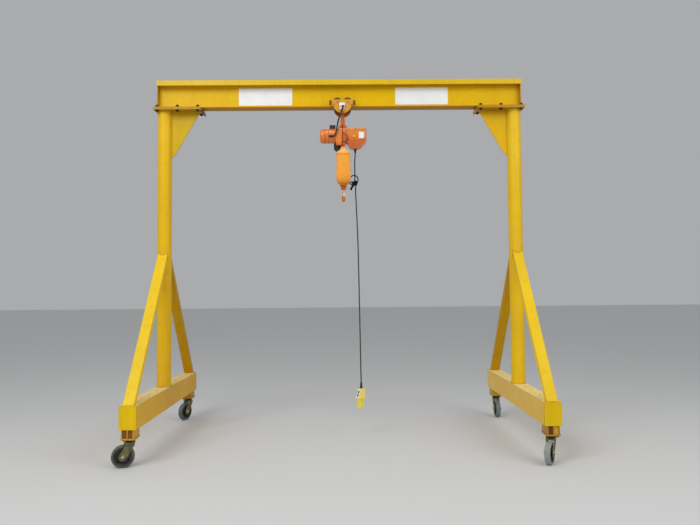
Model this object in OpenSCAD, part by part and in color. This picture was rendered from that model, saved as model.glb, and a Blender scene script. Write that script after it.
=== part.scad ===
// Rolling gantry crane: an I-beam on two braced legs, with a push trolley and a chain hoist.
// X runs along the main beam, Y from front to back, Z up.
// The origin is on the floor, midway between the two legs.

/* [Frame] */
// Distance between the axes of the two columns
span = 3570; // [3000:10:5000]
// Length of each column between the base beam and the leg's top plate
column_l = 2782; // [2600:2:3600]
// Outside diameter of the column pipe
column_d = 140; // [120:1:146]
// Wall of the column pipe
column_wall = 6; // [4:0.5:8]
// Length of each base beam over its end caps
base_l = 2050; // [1900:10:2600]
// Height of the base beam's two channels
base_h = 200; // [160:5:240]
// Width of the base beam across its two channels
base_w = 146; // [146:2:180]
// Web of the base beam's channels
base_web = 7; // [5:0.5:9]
// Mean flange of the base beam's channels
base_flange = 11; // [8:0.5:14]
// Plate that closes each end of a base beam
base_cap_t = 8; // [5:1:12]

/* [Main beam] */
// How far the main beam reaches past the axis of each column
beam_out = 65; // [50:1:90]
// Height of the I-section
beam_h = 270; // [250:5:320]
// Width of the I-section's flanges
beam_w = 122; // [116:1:132]
// Web of the I-section
beam_web = 8.5; // [7:0.5:11]
// Mean flange thickness of the I-section
beam_flange = 13.7; // [12:0.1:16]
// Plate that closes each end of the I-section
beam_end_t = 8; // [5:1:12]
// How far the capping channel reaches past the top flange on each side
cap_out = 19; // [18:1:30]
// Depth of the capping channel's flanges
cap_h = 52; // [45:1:80]
// Web of the capping channel, which lies on the top flange
cap_web = 6.5; // [5:0.5:9]
// Mean flange thickness of the capping channel
cap_flange = 10; // [8:0.5:12]

/* [Leg joints] */
// Length of the seat plate and the leg's top plate
joint_l = 475; // [420:5:520]
// Depth of both plates from front to back
joint_w = 220; // [210:5:260]
// Thickness of each plate
joint_t = 14; // [10:1:20]
// How far the plates reach past the end of the main beam
joint_lip = 25; // [15:1:40]
// Distance between bolts along the plate
bolt_pitch = 205; // [180:1:220]
// From the plate's outer end to the middle of its last bolt
bolt_edge = 32.5; // [28:0.5:40]
// Distance between the two rows of bolts
bolt_gauge = 164; // [160:1:176]
// Shank diameter of the joint bolts
bolt_d = 20; // [16:1:22]
// Clearance of each bolt hole on the diameter
bolt_play = 2; // [1:0.5:3]
// Reach of the knee gusset along the plate
gusset_l = 275; // [200:5:300]
// Height of the knee gusset down the column
gusset_h = 460; // [300:5:600]
// Thickness of the knee gusset
gusset_t = 12; // [8:1:16]

/* [Struts] */
// Width of the strut tube, across the leg
strut_w = 94; // [80:2:110]
// Depth of the strut tube, in the plane of the leg
strut_d = 50; // [40:2:60]
// Wall of the strut tube
strut_wall = 4; // [3:0.5:6]
// Height of the strut's upper edge where it meets the column
strut_top_z = 1840; // [1500:10:2100]
// Distance from the end of the base beam to the strut's foot
strut_inset = 15; // [5:1:60]

/* [Casters] */
// Height of a caster from the floor to the top of its plate
caster_h = 240; // [236:1:260]
// Diameter over the tyre
wheel_d = 190; // [180:2:204]
// Width of the tyre
tyre_w = 48; // [40:1:52]
// Thickness of the rubber on the wheel's rim
tyre_t = 24; // [16:1:30]
// Offset of the wheel's axle behind the swivel axis
trail = 57; // [45:1:62]
// Diameter of the wheel's axle
axle_d = 16; // [12:1:20]
// Diameter of the kingpin in the swivel head
kingpin_d = 18; // [14:1:22]
// Height of the stub that carries each caster
stub_h = 72; // [60:2:90]
// Length of the stub along the base beam, flush with the beam's end
stub_l = 150; // [140:2:180]
// Heading of the front left wheel's trail
turn_front_left = 197; // [0:1:359]
// Heading of the front right wheel's trail
turn_front_right = 238; // [0:1:359]
// Heading of the rear left wheel's trail
turn_rear_left = 246; // [0:1:359]
// Heading of the rear right wheel's trail
turn_rear_right = 268; // [0:1:359]

/* [Trolley] */
// Place of the trolley along the beam
trolley_x = 30; // [-1200:10:1200]
// Distance between the two wheel axles of a side plate
trolley_axles = 106; // [100:1:120]
// Mean tread diameter of the trolley wheels
tread_d = 76; // [70:1:80]
// Diameter of the trolley wheels' rims
rim_d = 92; // [86:1:96]
// Thickness of the trolley's side plates
side_t = 8; // [6:1:12]
// Length of the side plates at the wheels
side_l = 220; // [210:2:240]
// Radius of the side plates' rounded lower part
side_r = 91; // [80:1:98]
// Diameter of the load bolt that carries the hoist
load_bolt_d = 24; // [20:1:28]

/* [Hoist] */
// Diameter of the motor housing
motor_d = 153; // [140:1:165]
// Length of the motor housing
motor_l = 165; // [140:1:200]
// Width of the gear case along the beam
gear_w = 96; // [90:1:104]
// Width of the control box along the beam
box_w = 213; // [190:1:240]
// Height of the control box's straight sides
box_h = 128; // [110:1:140]
// Depth of the gear case and the control box from front to back
hoist_depth = 150; // [130:2:180]
// Wire diameter of the load chain
chain_d = 7; // [6:0.5:8]
// Pitch of the load chain
chain_pitch = 21; // [20:0.5:24]
// Width of the chain bag
bag_w = 150; // [120:2:170]
// Height of the chain bag
bag_h = 376; // [300:2:400]
// Depth of the chain bag from front to back
bag_d = 112; // [90:2:116]
// Links in the chain between the hoist and the hook block
links = 16; // [8:1:40]

/* [Pendant] */
// Diameter of the pendant's cable
cable_d = 12; // [10:1:14]
// Height of the pendant's body
pendant_h = 200; // [160:2:220]
// Width of the pendant's body
pendant_w = 60; // [50:1:80]
// Depth of the pendant's grip
pendant_t = 60; // [50:1:70]

/* [Hidden] */
$fn = 48;

// Running clearance of a shaft in its bore, on the radius
running = 0.05;
// Gap between faces that slide past each other
face_gap = 0.3;
// Overlap that makes a cut go cleanly through
cut = 1;

// Paint and material colours
yellow = [0.85, 0.68, 0.12];
orange = [0.88, 0.45, 0.10];
bag_orange = [0.95, 0.62, 0.22];
olive = [0.42, 0.42, 0.28];
steel = [0.62, 0.62, 0.60];
dark = [0.12, 0.12, 0.12];
tyre_grey = [0.45, 0.50, 0.50];

// Lengths and widths that follow the driving sizes
beam_l = span + 2 * beam_out;
cap_w = beam_w + 2 * cap_out;
joint_out = beam_out + joint_lip;
caster_base = base_l - stub_l;

// Heights of the stacked pieces
column_x = span / 2;
stub_plate_t = 12;
stub_z = caster_h + stub_plate_t;
base_z = stub_z + stub_h;
column_z = base_z + base_h;
top_plate_z = column_z + column_l;
seat_z = top_plate_z + joint_t;
beam_z = seat_z + joint_t;
beam_top_z = beam_z + beam_h;
flange_slope = 1 / 6;
channel_slope = 1 / 10;

// Points that the two cables follow, laid out under a beam at this height for this trolley place
route_beam_z = 3334;
route_trolley_x = 30;
route_shift = [trolley_x - route_trolley_x, 0, beam_z - route_beam_z];
link_route = [
    [33, -108, 3336], [33, -108, 3322], [29, -109, 3296], [20, -109, 3262], [10, -107, 3226],
    [-3, -103, 3180], [-15, -98, 3130], [-23, -94, 3096], [-31, -91, 3066], [-42, -90, 3042],
    [-58, -90, 3030], [-66, -90, 3028], [-75, -90, 3028]
];
link_points = [for (p = link_route) p + route_shift];
link_start = link_points[0];
link_end = link_points[len(link_points) - 1];
link_d = 12;
clip_w = 22;
pendant_route = [
    [157, 0, 2896], [157, 0, 2876], [154, 0, 2832], [151, 0, 2785], [150, 2, 2730],
    [151, 4, 2680], [151, 7, 2640], [151, 8, 2605], [151, 8, 2574], [148, 7, 2561],
    [138, 6, 2551], [125, 5, 2548], [112, 4, 2551], [102, 2, 2561], [99, 1, 2574],
    [99, -1, 2600], [103, -3, 2618], [115, -5, 2633], [131, -6, 2641], [150, -8, 2641],
    [167, -9, 2633], [179, -9, 2619], [183, -8, 2601], [179, -8, 2583], [168, -7, 2568],
    [160, -6, 2558], [157, -4, 2545], [157, -3, 2505], [158, -1, 2450], [161, 0, 2390],
    [165, 0, 2280], [171, 0, 2130], [178, 0, 1900], [183, 0, 1600], [187, 0, 1300],
    [191, 0, 1000], [194, 0, 750], [196, 0, 620], [197, 0, 547]
];
pendant_points = [for (p = pendant_route) p + route_shift];

// Points of an arc round a centre
function arc(c, r, from, to, steps) =
    [for (i = [0:steps]) let (a = from + (to - from) * i / steps) c + r * [cos(a), sin(a)]];
function turned(list) = [for (i = [len(list) - 1:-1:0]) list[i]];
function flip_x(list) = [for (p = list) [-p[0], p[1]]];
function flip_y(list, h) = [for (p = list) [p[0], h - p[1]]];

// Points of a polygon whose corners [x, y, radius] are rounded
function unit(v) = v / norm(v);
function corner(a, b, c, r) =
    r <= 0 ? [b] :
    let (
        u = unit(a - b),
        v = unit(c - b),
        half = acos(max(-1, min(1, u * v))) / 2,
        centre = b + unit(u + v) * r / sin(half),
        p = b + u * r / tan(half),
        q = b + v * r / tan(half),
        from = atan2(p[1] - centre[1], p[0] - centre[0]),
        raw = atan2(q[1] - centre[1], q[0] - centre[0]) - from,
        sweep = raw > 180 ? raw - 360 : (raw < -180 ? raw + 360 : raw),
        steps = max(2, round(abs(sweep) / 15))
    )
    arc(centre, r, from, from + sweep, steps);
function rounded(list) = [
    for (i = [0:len(list) - 1])
        let (
            n = len(list),
            a = list[(i + n - 1) % n],
            b = list[i],
            c = list[(i + 1) % n]
        )
        each corner([a[0], a[1]], [b[0], b[1]], [c[0], c[1]], b[2])
];

// A profile drawn in Y and Z, drawn out along X
module along_x(length) {
    rotate([90, 0, 90]) linear_extrude(height = length, center = true) children();
}
// An outline drawn in X and Z, drawn out along Y
module along_y(length) {
    rotate([90, 0, 0]) linear_extrude(height = length, center = true) children();
}
// A solid whose front, side and top views are all rounded outlines
module three_views(front, side, top) {
    size = 1 + max([for (p = concat(front, side, top)) norm(p)]);
    intersection() {
        along_y(2 * size) polygon(front);
        along_x(2 * size) polygon(side);
        translate([0, 0, -size]) linear_extrude(height = 2 * size) polygon(top);
    }
}
// A rectangle with rounded corners, from its low corner to its high corner
function rounded_box(low, high, r) = rounded([
    [low[0], low[1], r], [high[0], low[1], r], [high[0], high[1], r], [low[0], high[1], r]
]);
// Both sides of the crane
module both_legs() {
    for (side = [-1, 1]) translate([side * column_x, 0, 0]) children();
}

// Toe and root radii of the tapered hot-rolled sections
toe_r = 5;
root_r = 10;
cap_toe_r = 5;
cap_root_r = 5;
base_toe_r = 3;
base_root_r = 8;
function i_surface(u) =
    beam_flange + ((beam_w / 2 + beam_web / 2) / 2 - u) * flange_slope;
function i_quarter() =
    let (toe_u = beam_w / 2 - toe_r, root_u = beam_web / 2 + root_r)
    concat(
        [[beam_w / 2, 0]],
        arc([toe_u, i_surface(toe_u) - toe_r], toe_r, 0, 90, 4),
        arc([root_u, i_surface(root_u) + root_r], root_r, 270, 180, 4)
    );
function i_section() =
    let (half = concat(i_quarter(), turned(flip_y(i_quarter(), beam_h))))
    concat(half, turned(flip_x(half)));
// Upper flange of a channel that stands on its back: u is measured from the back of the web
function channel_flange(b, web, mean, toe, root) =
    let (
        thick_toe = mean - (b - toe - (b + web) / 2) * channel_slope,
        thick_root = mean - (web + root - (b + web) / 2) * channel_slope
    )
    concat(
        [[b, 0]],
        arc([b - toe, thick_toe - toe], toe, 0, 90, 4),
        arc([web + root, thick_root + root], root, 270, 180, 4)
    );
function channel_section(h, b, web, mean, toe, root) =
    let (low = channel_flange(b, web, mean, toe, root))
    concat([[0, 0]], low, turned(flip_y(low, h)), [[0, h]]);

module main_beam() {
    color(yellow)
    translate([0, 0, beam_z])
    along_x(beam_l - 2 * beam_end_t)
    polygon(i_section());
}
module beam_cap_channel() {
    color(yellow)
    translate([0, 0, beam_top_z + cap_web])
    along_x(beam_l)
    rotate(-90) translate([0, -cap_w / 2])
    polygon(channel_section(cap_w, cap_h, cap_web, cap_flange, cap_toe_r, cap_root_r));
}
module beam_end_plates() {
    color(yellow)
    for (side = [-1, 1])
        translate([side * (beam_l - beam_end_t) / 2, 0, beam_z + beam_h / 2])
        cube([beam_end_t, beam_w, beam_h], center = true);
}

// Joint plates, bolts and knee gussets
joint_x = column_x + joint_out - joint_l / 2;
bolt_hole_d = bolt_d + bolt_play;
// As many bolts as the plate has room for stand in each row, counted from its outer end
row_bolts = floor((joint_l - 2 * bolt_edge) / bolt_pitch) + 1;
last_bolt_x = column_x + joint_out - bolt_edge;
module at_bolts() {
    for (side = [-1, 1], i = [row_bolts - 1:-1:0], row = [-1, 1])
        translate([side * (last_bolt_x - i * bolt_pitch), row * bolt_gauge / 2, 0]) children();
}
module joint_plates(z) {
    difference() {
        for (side = [-1, 1])
            translate([side * joint_x, 0, z + joint_t / 2])
            cube([joint_l, joint_w, joint_t], center = true);
        at_bolts() translate([0, 0, z - cut]) cylinder(d = bolt_hole_d, h = joint_t + 2 * cut);
    }
}
module seat_plates() { color(yellow) joint_plates(seat_z); }
module leg_top_plates() { color(yellow) joint_plates(top_plate_z); }
nut_h = 18;
bolt_head_h = 13;
thread_out = 8;
nut_af = 1.5 * bolt_d;
module hex(af, h) {
    cylinder(d = af / cos(30), h = h, $fn = 6);
}
module joint_bolts() {
    color(steel)
    at_bolts() {
        translate([0, 0, top_plate_z - bolt_head_h]) rotate(30) hex(nut_af, bolt_head_h);
        translate([0, 0, top_plate_z - cut])
            cylinder(d = bolt_d, h = 2 * joint_t + nut_h + thread_out + cut);
        translate([0, 0, beam_z]) rotate(30) hex(nut_af, nut_h);
    }
}
gusset_nose = 25;
module knee_gussets() {
    color(yellow)
    difference() {
        for (side = [-1, 1])
            translate([side * column_x, 0, top_plate_z])
            mirror([side > 0 ? 1 : 0, 0, 0])
            along_y(gusset_t)
            polygon([
                [0, 0],
                [column_d / 2 + gusset_l, 0],
                [column_d / 2 + gusset_l, -gusset_nose],
                [column_d / 2 + gusset_nose, -gusset_h],
                [0, -gusset_h]
            ]);
        both_legs() translate([0, 0, column_z]) cylinder(d = column_d, h = column_l + cut);
    }
}
// Angle across the beam under the inner edge of each leg's top plate, a stop for the hoist
stop_leg = 30;
stop_t = 6;
stop_out = 14;
module end_stops() {
    color(dark)
    for (side = [-1, 1])
        translate([side * (joint_x - joint_l / 2), 0, top_plate_z])
        mirror([side < 0 ? 1 : 0, 0, 0])
        difference() {
            translate([stop_out - stop_leg, -beam_w / 2, -stop_leg])
                cube([stop_leg, beam_w, stop_leg]);
            translate([stop_out - stop_leg + stop_t, -beam_w / 2 - cut, -stop_leg - cut])
                cube([stop_leg, beam_w + 2 * cut, stop_leg - stop_t + cut]);
        }
}

// Legs
module column() {
    translate([0, 0, column_z])
    difference() {
        cylinder(d = column_d, h = column_l, $fn = 96);
        translate([0, 0, -cut])
            cylinder(d = column_d - 2 * column_wall, h = column_l + 2 * cut, $fn = 96);
    }
}
module column_left() { color(yellow) translate([-column_x, 0, 0]) column(); }
module column_right() { color(yellow) translate([column_x, 0, 0]) column(); }
module base_beam() {
    translate([0, 0, base_z])
    rotate([90, 0, 0])
    linear_extrude(height = base_l - 2 * base_cap_t, center = true)
    for (side = [0, 1]) mirror([side, 0])
        translate([-base_w / 2, 0])
        polygon(channel_section(
            base_h, base_w / 2, base_web, base_flange, base_toe_r, base_root_r
        ));
}
module base_beam_left() { color(yellow) translate([-column_x, 0, 0]) base_beam(); }
module base_beam_right() { color(yellow) translate([column_x, 0, 0]) base_beam(); }
module base_end_caps() {
    color(yellow)
    both_legs()
    for (end = [-1, 1])
        translate([0, end * (base_l - base_cap_t) / 2, base_z + base_h / 2])
        cube([base_w, base_cap_t, base_h], center = true);
}

// Struts: the upper edge runs from the foot to the column, and both ends are cut to their seats
foot_y = base_l / 2 - strut_inset;
rise = strut_top_z - column_z;
strut_run = foot_y - column_d / 2;
strut_angle = atan2(rise, strut_run);
function strut_outline(inset) =
    let (
        lean = [cos(strut_angle), sin(strut_angle)],
        square = [-sin(strut_angle), cos(strut_angle)],
        start = [-foot_y, column_z] - square * inset,
        finish = start + lean * (norm([rise, strut_run]) + column_d),
        drop = square * (strut_d - 2 * inset)
    )
    [start - lean * strut_d, finish, finish - drop, start - lean * strut_d - drop];
module strut_bar(width, inset) {
    rotate([90, 0, 90]) linear_extrude(height = width, center = true)
        polygon(strut_outline(inset));
}
module strut() {
    difference() {
        strut_bar(strut_w, 0);
        strut_bar(strut_w - 2 * strut_wall, strut_wall);
        translate([0, 0, column_z]) cylinder(d = column_d, h = column_l, $fn = 96);
        translate([-strut_w, 0, column_z]) cube([2 * strut_w, base_l, column_l]);
        translate([-strut_w, -base_l, 0]) cube([2 * strut_w, 2 * base_l, column_z]);
    }
}
module strut_pair(x) {
    color(yellow)
    for (end = [0, 1]) translate([x, 0, 0]) mirror([0, end, 0]) strut();
}
module struts_left() { strut_pair(-column_x); }
module struts_right() { strut_pair(column_x); }

// Caster stubs: a box of plates on a bottom plate, closed at its inner end, with a web inside
stub_w = 104;
stub_side_t = 8;
stub_web = 8;
stub_plate_lip = 7;
module at_casters() {
    for (side = [-1, 1], end = [-1, 1])
        translate([side * column_x, end * caster_base / 2, 0]) children();
}
module caster_stub() {
    half = stub_l / 2;
    translate([0, 0, caster_h + stub_plate_t / 2])
        cube([stub_w + 2 * stub_plate_lip, stub_l, stub_plate_t], center = true);
    for (side = [-1, 1])
        translate([side * (stub_w - stub_side_t) / 2, 0, stub_z + stub_h / 2])
        cube([stub_side_t, stub_l, stub_h], center = true);
    translate([-stub_w / 2, half - stub_side_t, stub_z]) cube([stub_w, stub_side_t, stub_h]);
    translate([-stub_web / 2, -half, stub_z]) cube([stub_web, stub_l, stub_h]);
}
module caster_stubs() {
    color(yellow)
    for (side = [-1, 1], end = [0, 1])
        mirror([0, end, 0]) translate([side * column_x, -caster_base / 2, 0]) caster_stub();
}

// Casters: the plate, its race and the kingpin are fixed, the fork turns below them
caster_plate_l = 115;
caster_plate_w = 100;
caster_plate_t = 8;
crown_drop = 26;
crown_top_z = caster_h - crown_drop;
crown_t = 14;
race_r = 40;
kingpin_nut_h = 8;
module caster_plate() {
    plate_z = caster_h - caster_plate_t;
    translate([0, 0, plate_z + caster_plate_t / 2])
        cube([caster_plate_w, caster_plate_l, caster_plate_t], center = true);
    translate([0, 0, crown_top_z + face_gap])
        cylinder(r1 = race_r, r2 = race_r - 8, h = plate_z - crown_top_z - face_gap);
    translate([0, 0, crown_top_z - crown_t - kingpin_nut_h])
        cylinder(d = kingpin_d, h = crown_t + kingpin_nut_h + 5);
    translate([0, 0, crown_top_z - crown_t - kingpin_nut_h - face_gap])
        hex(1.6 * kingpin_d, kingpin_nut_h);
}
module caster_plates() { color(olive) at_casters() caster_plate(); }

wheel_z = wheel_d / 2;
fork_t = 5;
fork_in = 58;
fork_top_w = 72;
fork_foot_r = 33;
fork_shoulder_h = 24;
fork_foot_from = 205;
fork_foot_to = 385;
fork_w = fork_in + 2 * fork_t;
module fork_leg_outline() {
    polygon(concat(
        [[-fork_top_w / 2, crown_top_z], [-fork_top_w / 2, crown_top_z - fork_shoulder_h]],
        arc([trail, wheel_z], fork_foot_r, fork_foot_from, fork_foot_to, 12),
        [[fork_top_w / 2, crown_top_z - fork_shoulder_h], [fork_top_w / 2, crown_top_z]]
    ));
}
axle_nut_h = 9;
module caster_fork(x, y, turn) {
    color(olive)
    translate([x, y, 0]) rotate(turn) {
        difference() {
            union() {
                for (side = [-1, 1])
                    translate([0, side * (fork_w - fork_t) / 2, 0])
                    along_y(fork_t) fork_leg_outline();
                translate([-fork_top_w / 2, -fork_w / 2, crown_top_z - crown_t])
                    cube([fork_top_w, fork_w, crown_t]);
                translate([0, 0, crown_top_z - crown_t])
                    cylinder(r = race_r + 1, h = crown_t);
            }
            translate([0, 0, crown_top_z - crown_t - cut])
                cylinder(d = kingpin_d + 2 * running, h = crown_t + 2 * cut);
        }
        translate([trail, 0, wheel_z]) rotate([90, 0, 0]) {
            cylinder(d = axle_d, h = fork_w + 2 * axle_nut_h, center = true);
            for (side = [-1, 1])
                translate([0, 0, side * (fork_w + axle_nut_h) / 2])
                cylinder(d = 1.6 * axle_d / cos(30), h = axle_nut_h, center = true, $fn = 6);
        }
    }
}
hub_r = 24;
hub_w = fork_in - 2 * face_gap;
rim_r = wheel_d / 2 - tyre_t;
rim_t = 9;
disc_t = 8;
rim_w = tyre_w - 4;
ribs = 8;
module caster_wheel(x, y, turn) {
    color(dark)
    translate([x, y, 0]) rotate(turn)
    translate([trail, 0, wheel_z]) rotate([90, 0, 0])
    difference() {
        union() {
            rotate_extrude($fn = 96) translate([rim_r - rim_t, -rim_w / 2]) square([rim_t, rim_w]);
            cylinder(r = rim_r - rim_t / 2, h = disc_t, center = true);
            cylinder(r = hub_r, h = hub_w, center = true);
            for (i = [0:ribs - 1])
                rotate(i * 360 / ribs)
                translate([hub_r - 2, -3, -rim_w / 2 + 4]) cube([rim_r - hub_r - 2, 6, rim_w - 8]);
        }
        cylinder(d = axle_d + 2 * running, h = hub_w + 2 * cut, center = true);
    }
}
tread_round = 10;
module caster_tyre(x, y, turn) {
    half = tyre_w / 2;
    edge = tyre_t - tread_round;
    color(tyre_grey)
    translate([x, y, 0]) rotate(turn)
    translate([trail, 0, wheel_z]) rotate([90, 0, 0])
    rotate_extrude($fn = 96)
    translate([rim_r, 0])
    polygon(concat(
        [[0, -half], [edge, -half]],
        arc([edge, tread_round - half], tread_round, 270, 360, 5),
        arc([edge, half - tread_round], tread_round, 0, 90, 5),
        [[0, half]]
    ));
}

// Trolley
wheel_y = 50;
flange_gap = 0.3;
tread_slope = flange_slope;
trolley_axle_z = beam_z + i_surface(wheel_y) + tread_d / 2 + flange_gap;
wheel_in_y = 38;
tread_end_y = 66.5;
rim_end_y = 72;
side_y = 78;
side_rise = 20;
side_drop = 28;
side_top_z = trolley_axle_z + side_rise;
side_mid_z = trolley_axle_z - side_drop;
trolley_axle_d = 20;
load_bolt_drop = 39;
load_bolt_z = beam_z - load_bolt_drop;
function tread_r(y) = tread_d / 2 + (y - wheel_y) * tread_slope;
module trolley_plate(face) {
    low_z = side_mid_z;
    color(orange)
    translate([trolley_x, 0, 0]) {
        difference() {
            translate([0, face * (side_y + side_t / 2), 0])
            along_y(side_t)
            polygon(concat(
                rounded([
                    [side_r, low_z, 0],
                    [side_l / 2, low_z, 6],
                    [side_l / 2, side_top_z, 10],
                    [-side_l / 2, side_top_z, 10],
                    [-side_l / 2, low_z, 6],
                    [-side_r, low_z, 0]
                ]),
                arc([0, low_z], side_r, 180, 360, 18)
            ));
            translate([0, face * (side_y + side_t / 2), load_bolt_z])
                rotate([90, 0, 0])
                cylinder(d = load_bolt_d, h = side_t + 2 * cut, center = true);
        }
        for (i = [-1, 1])
            translate([i * trolley_axles / 2, 0, trolley_axle_z])
            rotate([face > 0 ? -90 : 90, 0, 0]) {
                translate([0, 0, wheel_in_y - 4])
                    cylinder(d = trolley_axle_d, h = side_y + side_t + 3 - wheel_in_y + 4);
                translate([0, 0, wheel_in_y - 4 - face_gap])
                    cylinder(d = trolley_axle_d + 10, h = 4);
                translate([0, 0, side_y + side_t]) cylinder(d = trolley_axle_d + 8, h = 6);
            }
    }
}
module trolley_plate_front() {
    trolley_plate(-1);
    color(orange)
    translate([link_start[0] - clip_w / 2, link_start[1] - clip_w / 2, link_start[2]])
        cube([clip_w, -side_y - side_t - link_start[1] + clip_w / 2, clip_w]);
}
module trolley_plate_rear() { trolley_plate(1); }
module trolley_wheel(i, face) {
    color(steel)
    translate([trolley_x + i * trolley_axles / 2, 0, trolley_axle_z])
    rotate([face > 0 ? -90 : 90, 0, 0])
    rotate_extrude()
    polygon([
        [trolley_axle_d / 2 + running, wheel_in_y],
        [tread_r(wheel_in_y), wheel_in_y],
        [tread_r(tread_end_y), tread_end_y],
        [rim_d / 2, tread_end_y + 1],
        [rim_d / 2, rim_end_y],
        [trolley_axle_d / 2 + 8, rim_end_y],
        [trolley_axle_d / 2 + 8, side_y - face_gap],
        [trolley_axle_d / 2 + running, side_y - face_gap]
    ]);
}
module trolley_wheel_front_left() { trolley_wheel(-1, -1); }
module trolley_wheel_front_right() { trolley_wheel(1, -1); }
module trolley_wheel_rear_left() { trolley_wheel(-1, 1); }
module trolley_wheel_rear_right() { trolley_wheel(1, 1); }
bumper_l = 22;
bumper_t = 8;
bumper_w = 14;
bumper_h = 46;
bumper_drop = 10;
module trolley_bumpers() {
    color(dark)
    for (end = [-1, 1], face = [-1, 1])
        translate([
            trolley_x + end * (side_l + bumper_l) / 2,
            face * (side_y + bumper_w / 2),
            side_top_z - bumper_h / 2 - bumper_drop
        ])
        difference() {
            cube([bumper_l, bumper_w, bumper_h], center = true);
            translate([-end * bumper_t, 0, 0])
                cube([bumper_l, bumper_w + 2 * cut, bumper_h - 2 * bumper_t], center = true);
        }
}
lug_t = 30;
load_nut_h = 12;
spacer_d = load_bolt_d + 16;
module trolley_load_bolt() {
    color(steel)
    translate([trolley_x, 0, load_bolt_z]) rotate([90, 0, 0]) {
        cylinder(d = load_bolt_d, h = 2 * (side_y + side_t + load_nut_h + 3), center = true);
        for (face = [-1, 1]) {
            translate([0, 0, face * (side_y + side_t + load_nut_h / 2)])
                cylinder(d = 1.5 * load_bolt_d / cos(30), h = load_nut_h, center = true, $fn = 6);
            translate([0, 0, face * (side_y + lug_t / 2) / 2])
                cylinder(d = spacer_d, h = side_y - lug_t / 2, center = true);
        }
    }
}

// Hoist
hoist_drop = 286;
gear_inset = 8;
gear_h = 175;
gear_out = 67;
hoist_z = beam_z - hoist_drop;
hoist_top_z = hoist_z + motor_d / 2;
gear_top_z = hoist_top_z - gear_inset;
gear_low_z = gear_top_z - gear_h;
gear_x = trolley_x - gear_out;
lug_base_w = 92;
lug_base_h = 40;
lug_base_t = 56;
lug_eye_r = 26;
lug_waist_w = 40;
lug_waist_drop = 50;
lug_foot_w = 48;
lug_slot = 10;
module hoist_lug() {
    color(orange)
    difference() {
        union() {
            translate([trolley_x, 0, 0])
            along_y(lug_t)
            polygon(concat(
                arc([0, load_bolt_z], lug_eye_r, 0, 180, 16),
                [[-lug_waist_w / 2, load_bolt_z - lug_waist_drop]],
                [[-lug_foot_w / 2, gear_top_z + lug_base_h - cut]],
                [[lug_foot_w / 2, gear_top_z + lug_base_h - cut]],
                [[lug_waist_w / 2, load_bolt_z - lug_waist_drop]]
            ));
            translate([trolley_x, 0, gear_top_z])
            three_views(
                rounded([
                    [-lug_base_w / 2, 0, 0],
                    [lug_base_w / 2, 0, 0],
                    [lug_base_w / 2 - 6, lug_base_h, 12],
                    [6 - lug_base_w / 2, lug_base_h, 12]
                ]),
                rounded([
                    [-lug_base_t / 2, 0, 0],
                    [lug_base_t / 2, 0, 0],
                    [lug_base_t / 2 - 4, lug_base_h, 8],
                    [4 - lug_base_t / 2, lug_base_h, 8]
                ]),
                rounded_box([-lug_base_w / 2, -lug_base_t / 2], [lug_base_w / 2, lug_base_t / 2], 10)
            );
        }
        translate([trolley_x, 0, load_bolt_z]) rotate([90, 0, 0])
            cylinder(d = load_bolt_d, h = 2 * lug_base_t, center = true);
        for (face = [-1, 1])
            translate([trolley_x, face * lug_base_t / 2, gear_top_z + lug_base_h / 2])
            cube([lug_slot, lug_base_t - lug_t, 2 * lug_base_h], center = true);
    }
}
bag_drop = 31;
gear_cover_r = 52;
gear_cover_t = 12;
gear_cover_drop = 33;
seam_w = 3;
bracket_w = 40;
bracket_t = 6;
bracket_back = 21;
module hoist_gear_case() {
    half_w = gear_w / 2;
    half_d = hoist_depth / 2;
    color(orange) {
        translate([bag_x, bag_back_y - bracket_back, gear_low_z - bag_drop / 2 + face_gap / 2])
            cube([bracket_w, bracket_t, bag_drop - face_gap], center = true);
        difference() {
            translate([gear_x + half_w, 0, gear_low_z])
                three_views(
                    rounded_box([-half_w, 0], [half_w, gear_h], 12),
                    rounded([
                        [-half_d, 0, 16],
                        [half_d, 0, 16],
                        [half_d, gear_h, 16],
                        [-half_d, gear_h, 16]
                    ]),
                    rounded_box([-half_w, -half_d], [half_w, half_d], 4)
                );
            for (face = [-1, 1])
                translate([trolley_x, face * half_d, gear_low_z + gear_h / 2])
                cube([seam_w, 2 * seam_w, 2 * gear_h], center = true);
        }
        translate([trolley_x, -half_d, hoist_z - gear_cover_drop])
            rotate([90, 0, 0])
            intersection() {
                cylinder(r1 = gear_cover_r, r2 = gear_cover_r - 5, h = gear_cover_t);
                translate([seam_w / 2, -gear_cover_r, 0])
                    cube([gear_cover_r, 2 * gear_cover_r, gear_cover_t]);
            }
    }
}
// Motor: a flange at the gear case, a plain barrel, and a domed end cap behind a raised band
motor_cap_l = 46;
motor_band = 3;
motor_flange_t = 17;
module hoist_motor() {
    r = motor_d / 2;
    joint = motor_l - motor_cap_l;
    color(orange)
    translate([gear_x, 0, hoist_z]) rotate([0, -90, 0])
    rotate_extrude($fn = 72)
    polygon(rounded([
        [0, 0, 0],
        [r, 0, 0],
        [r, motor_flange_t - motor_band, 2],
        [r - motor_band, motor_flange_t, 2],
        [r - motor_band, joint - 6, 2],
        [r, joint - 3, 2],
        [r, joint + 3, 2],
        [r - motor_band, joint + 6, 2],
        [r - motor_band, motor_l, 30],
        [0, motor_l, 0]
    ]));
}
box_x = gear_x + gear_w;
box_top_z = gear_top_z;
box_mid_z = box_top_z - box_h;
gland_out = 98;
eye_out = 70;
gland_x = box_x + gland_out;
gland_z = pendant_points[0][2];
gland_d = 26;
gland_h = 14;
eye_x = box_x + eye_out;
eye_r = 9;
eye_wire_r = 3.5;
eye_stem_h = 46;
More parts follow.
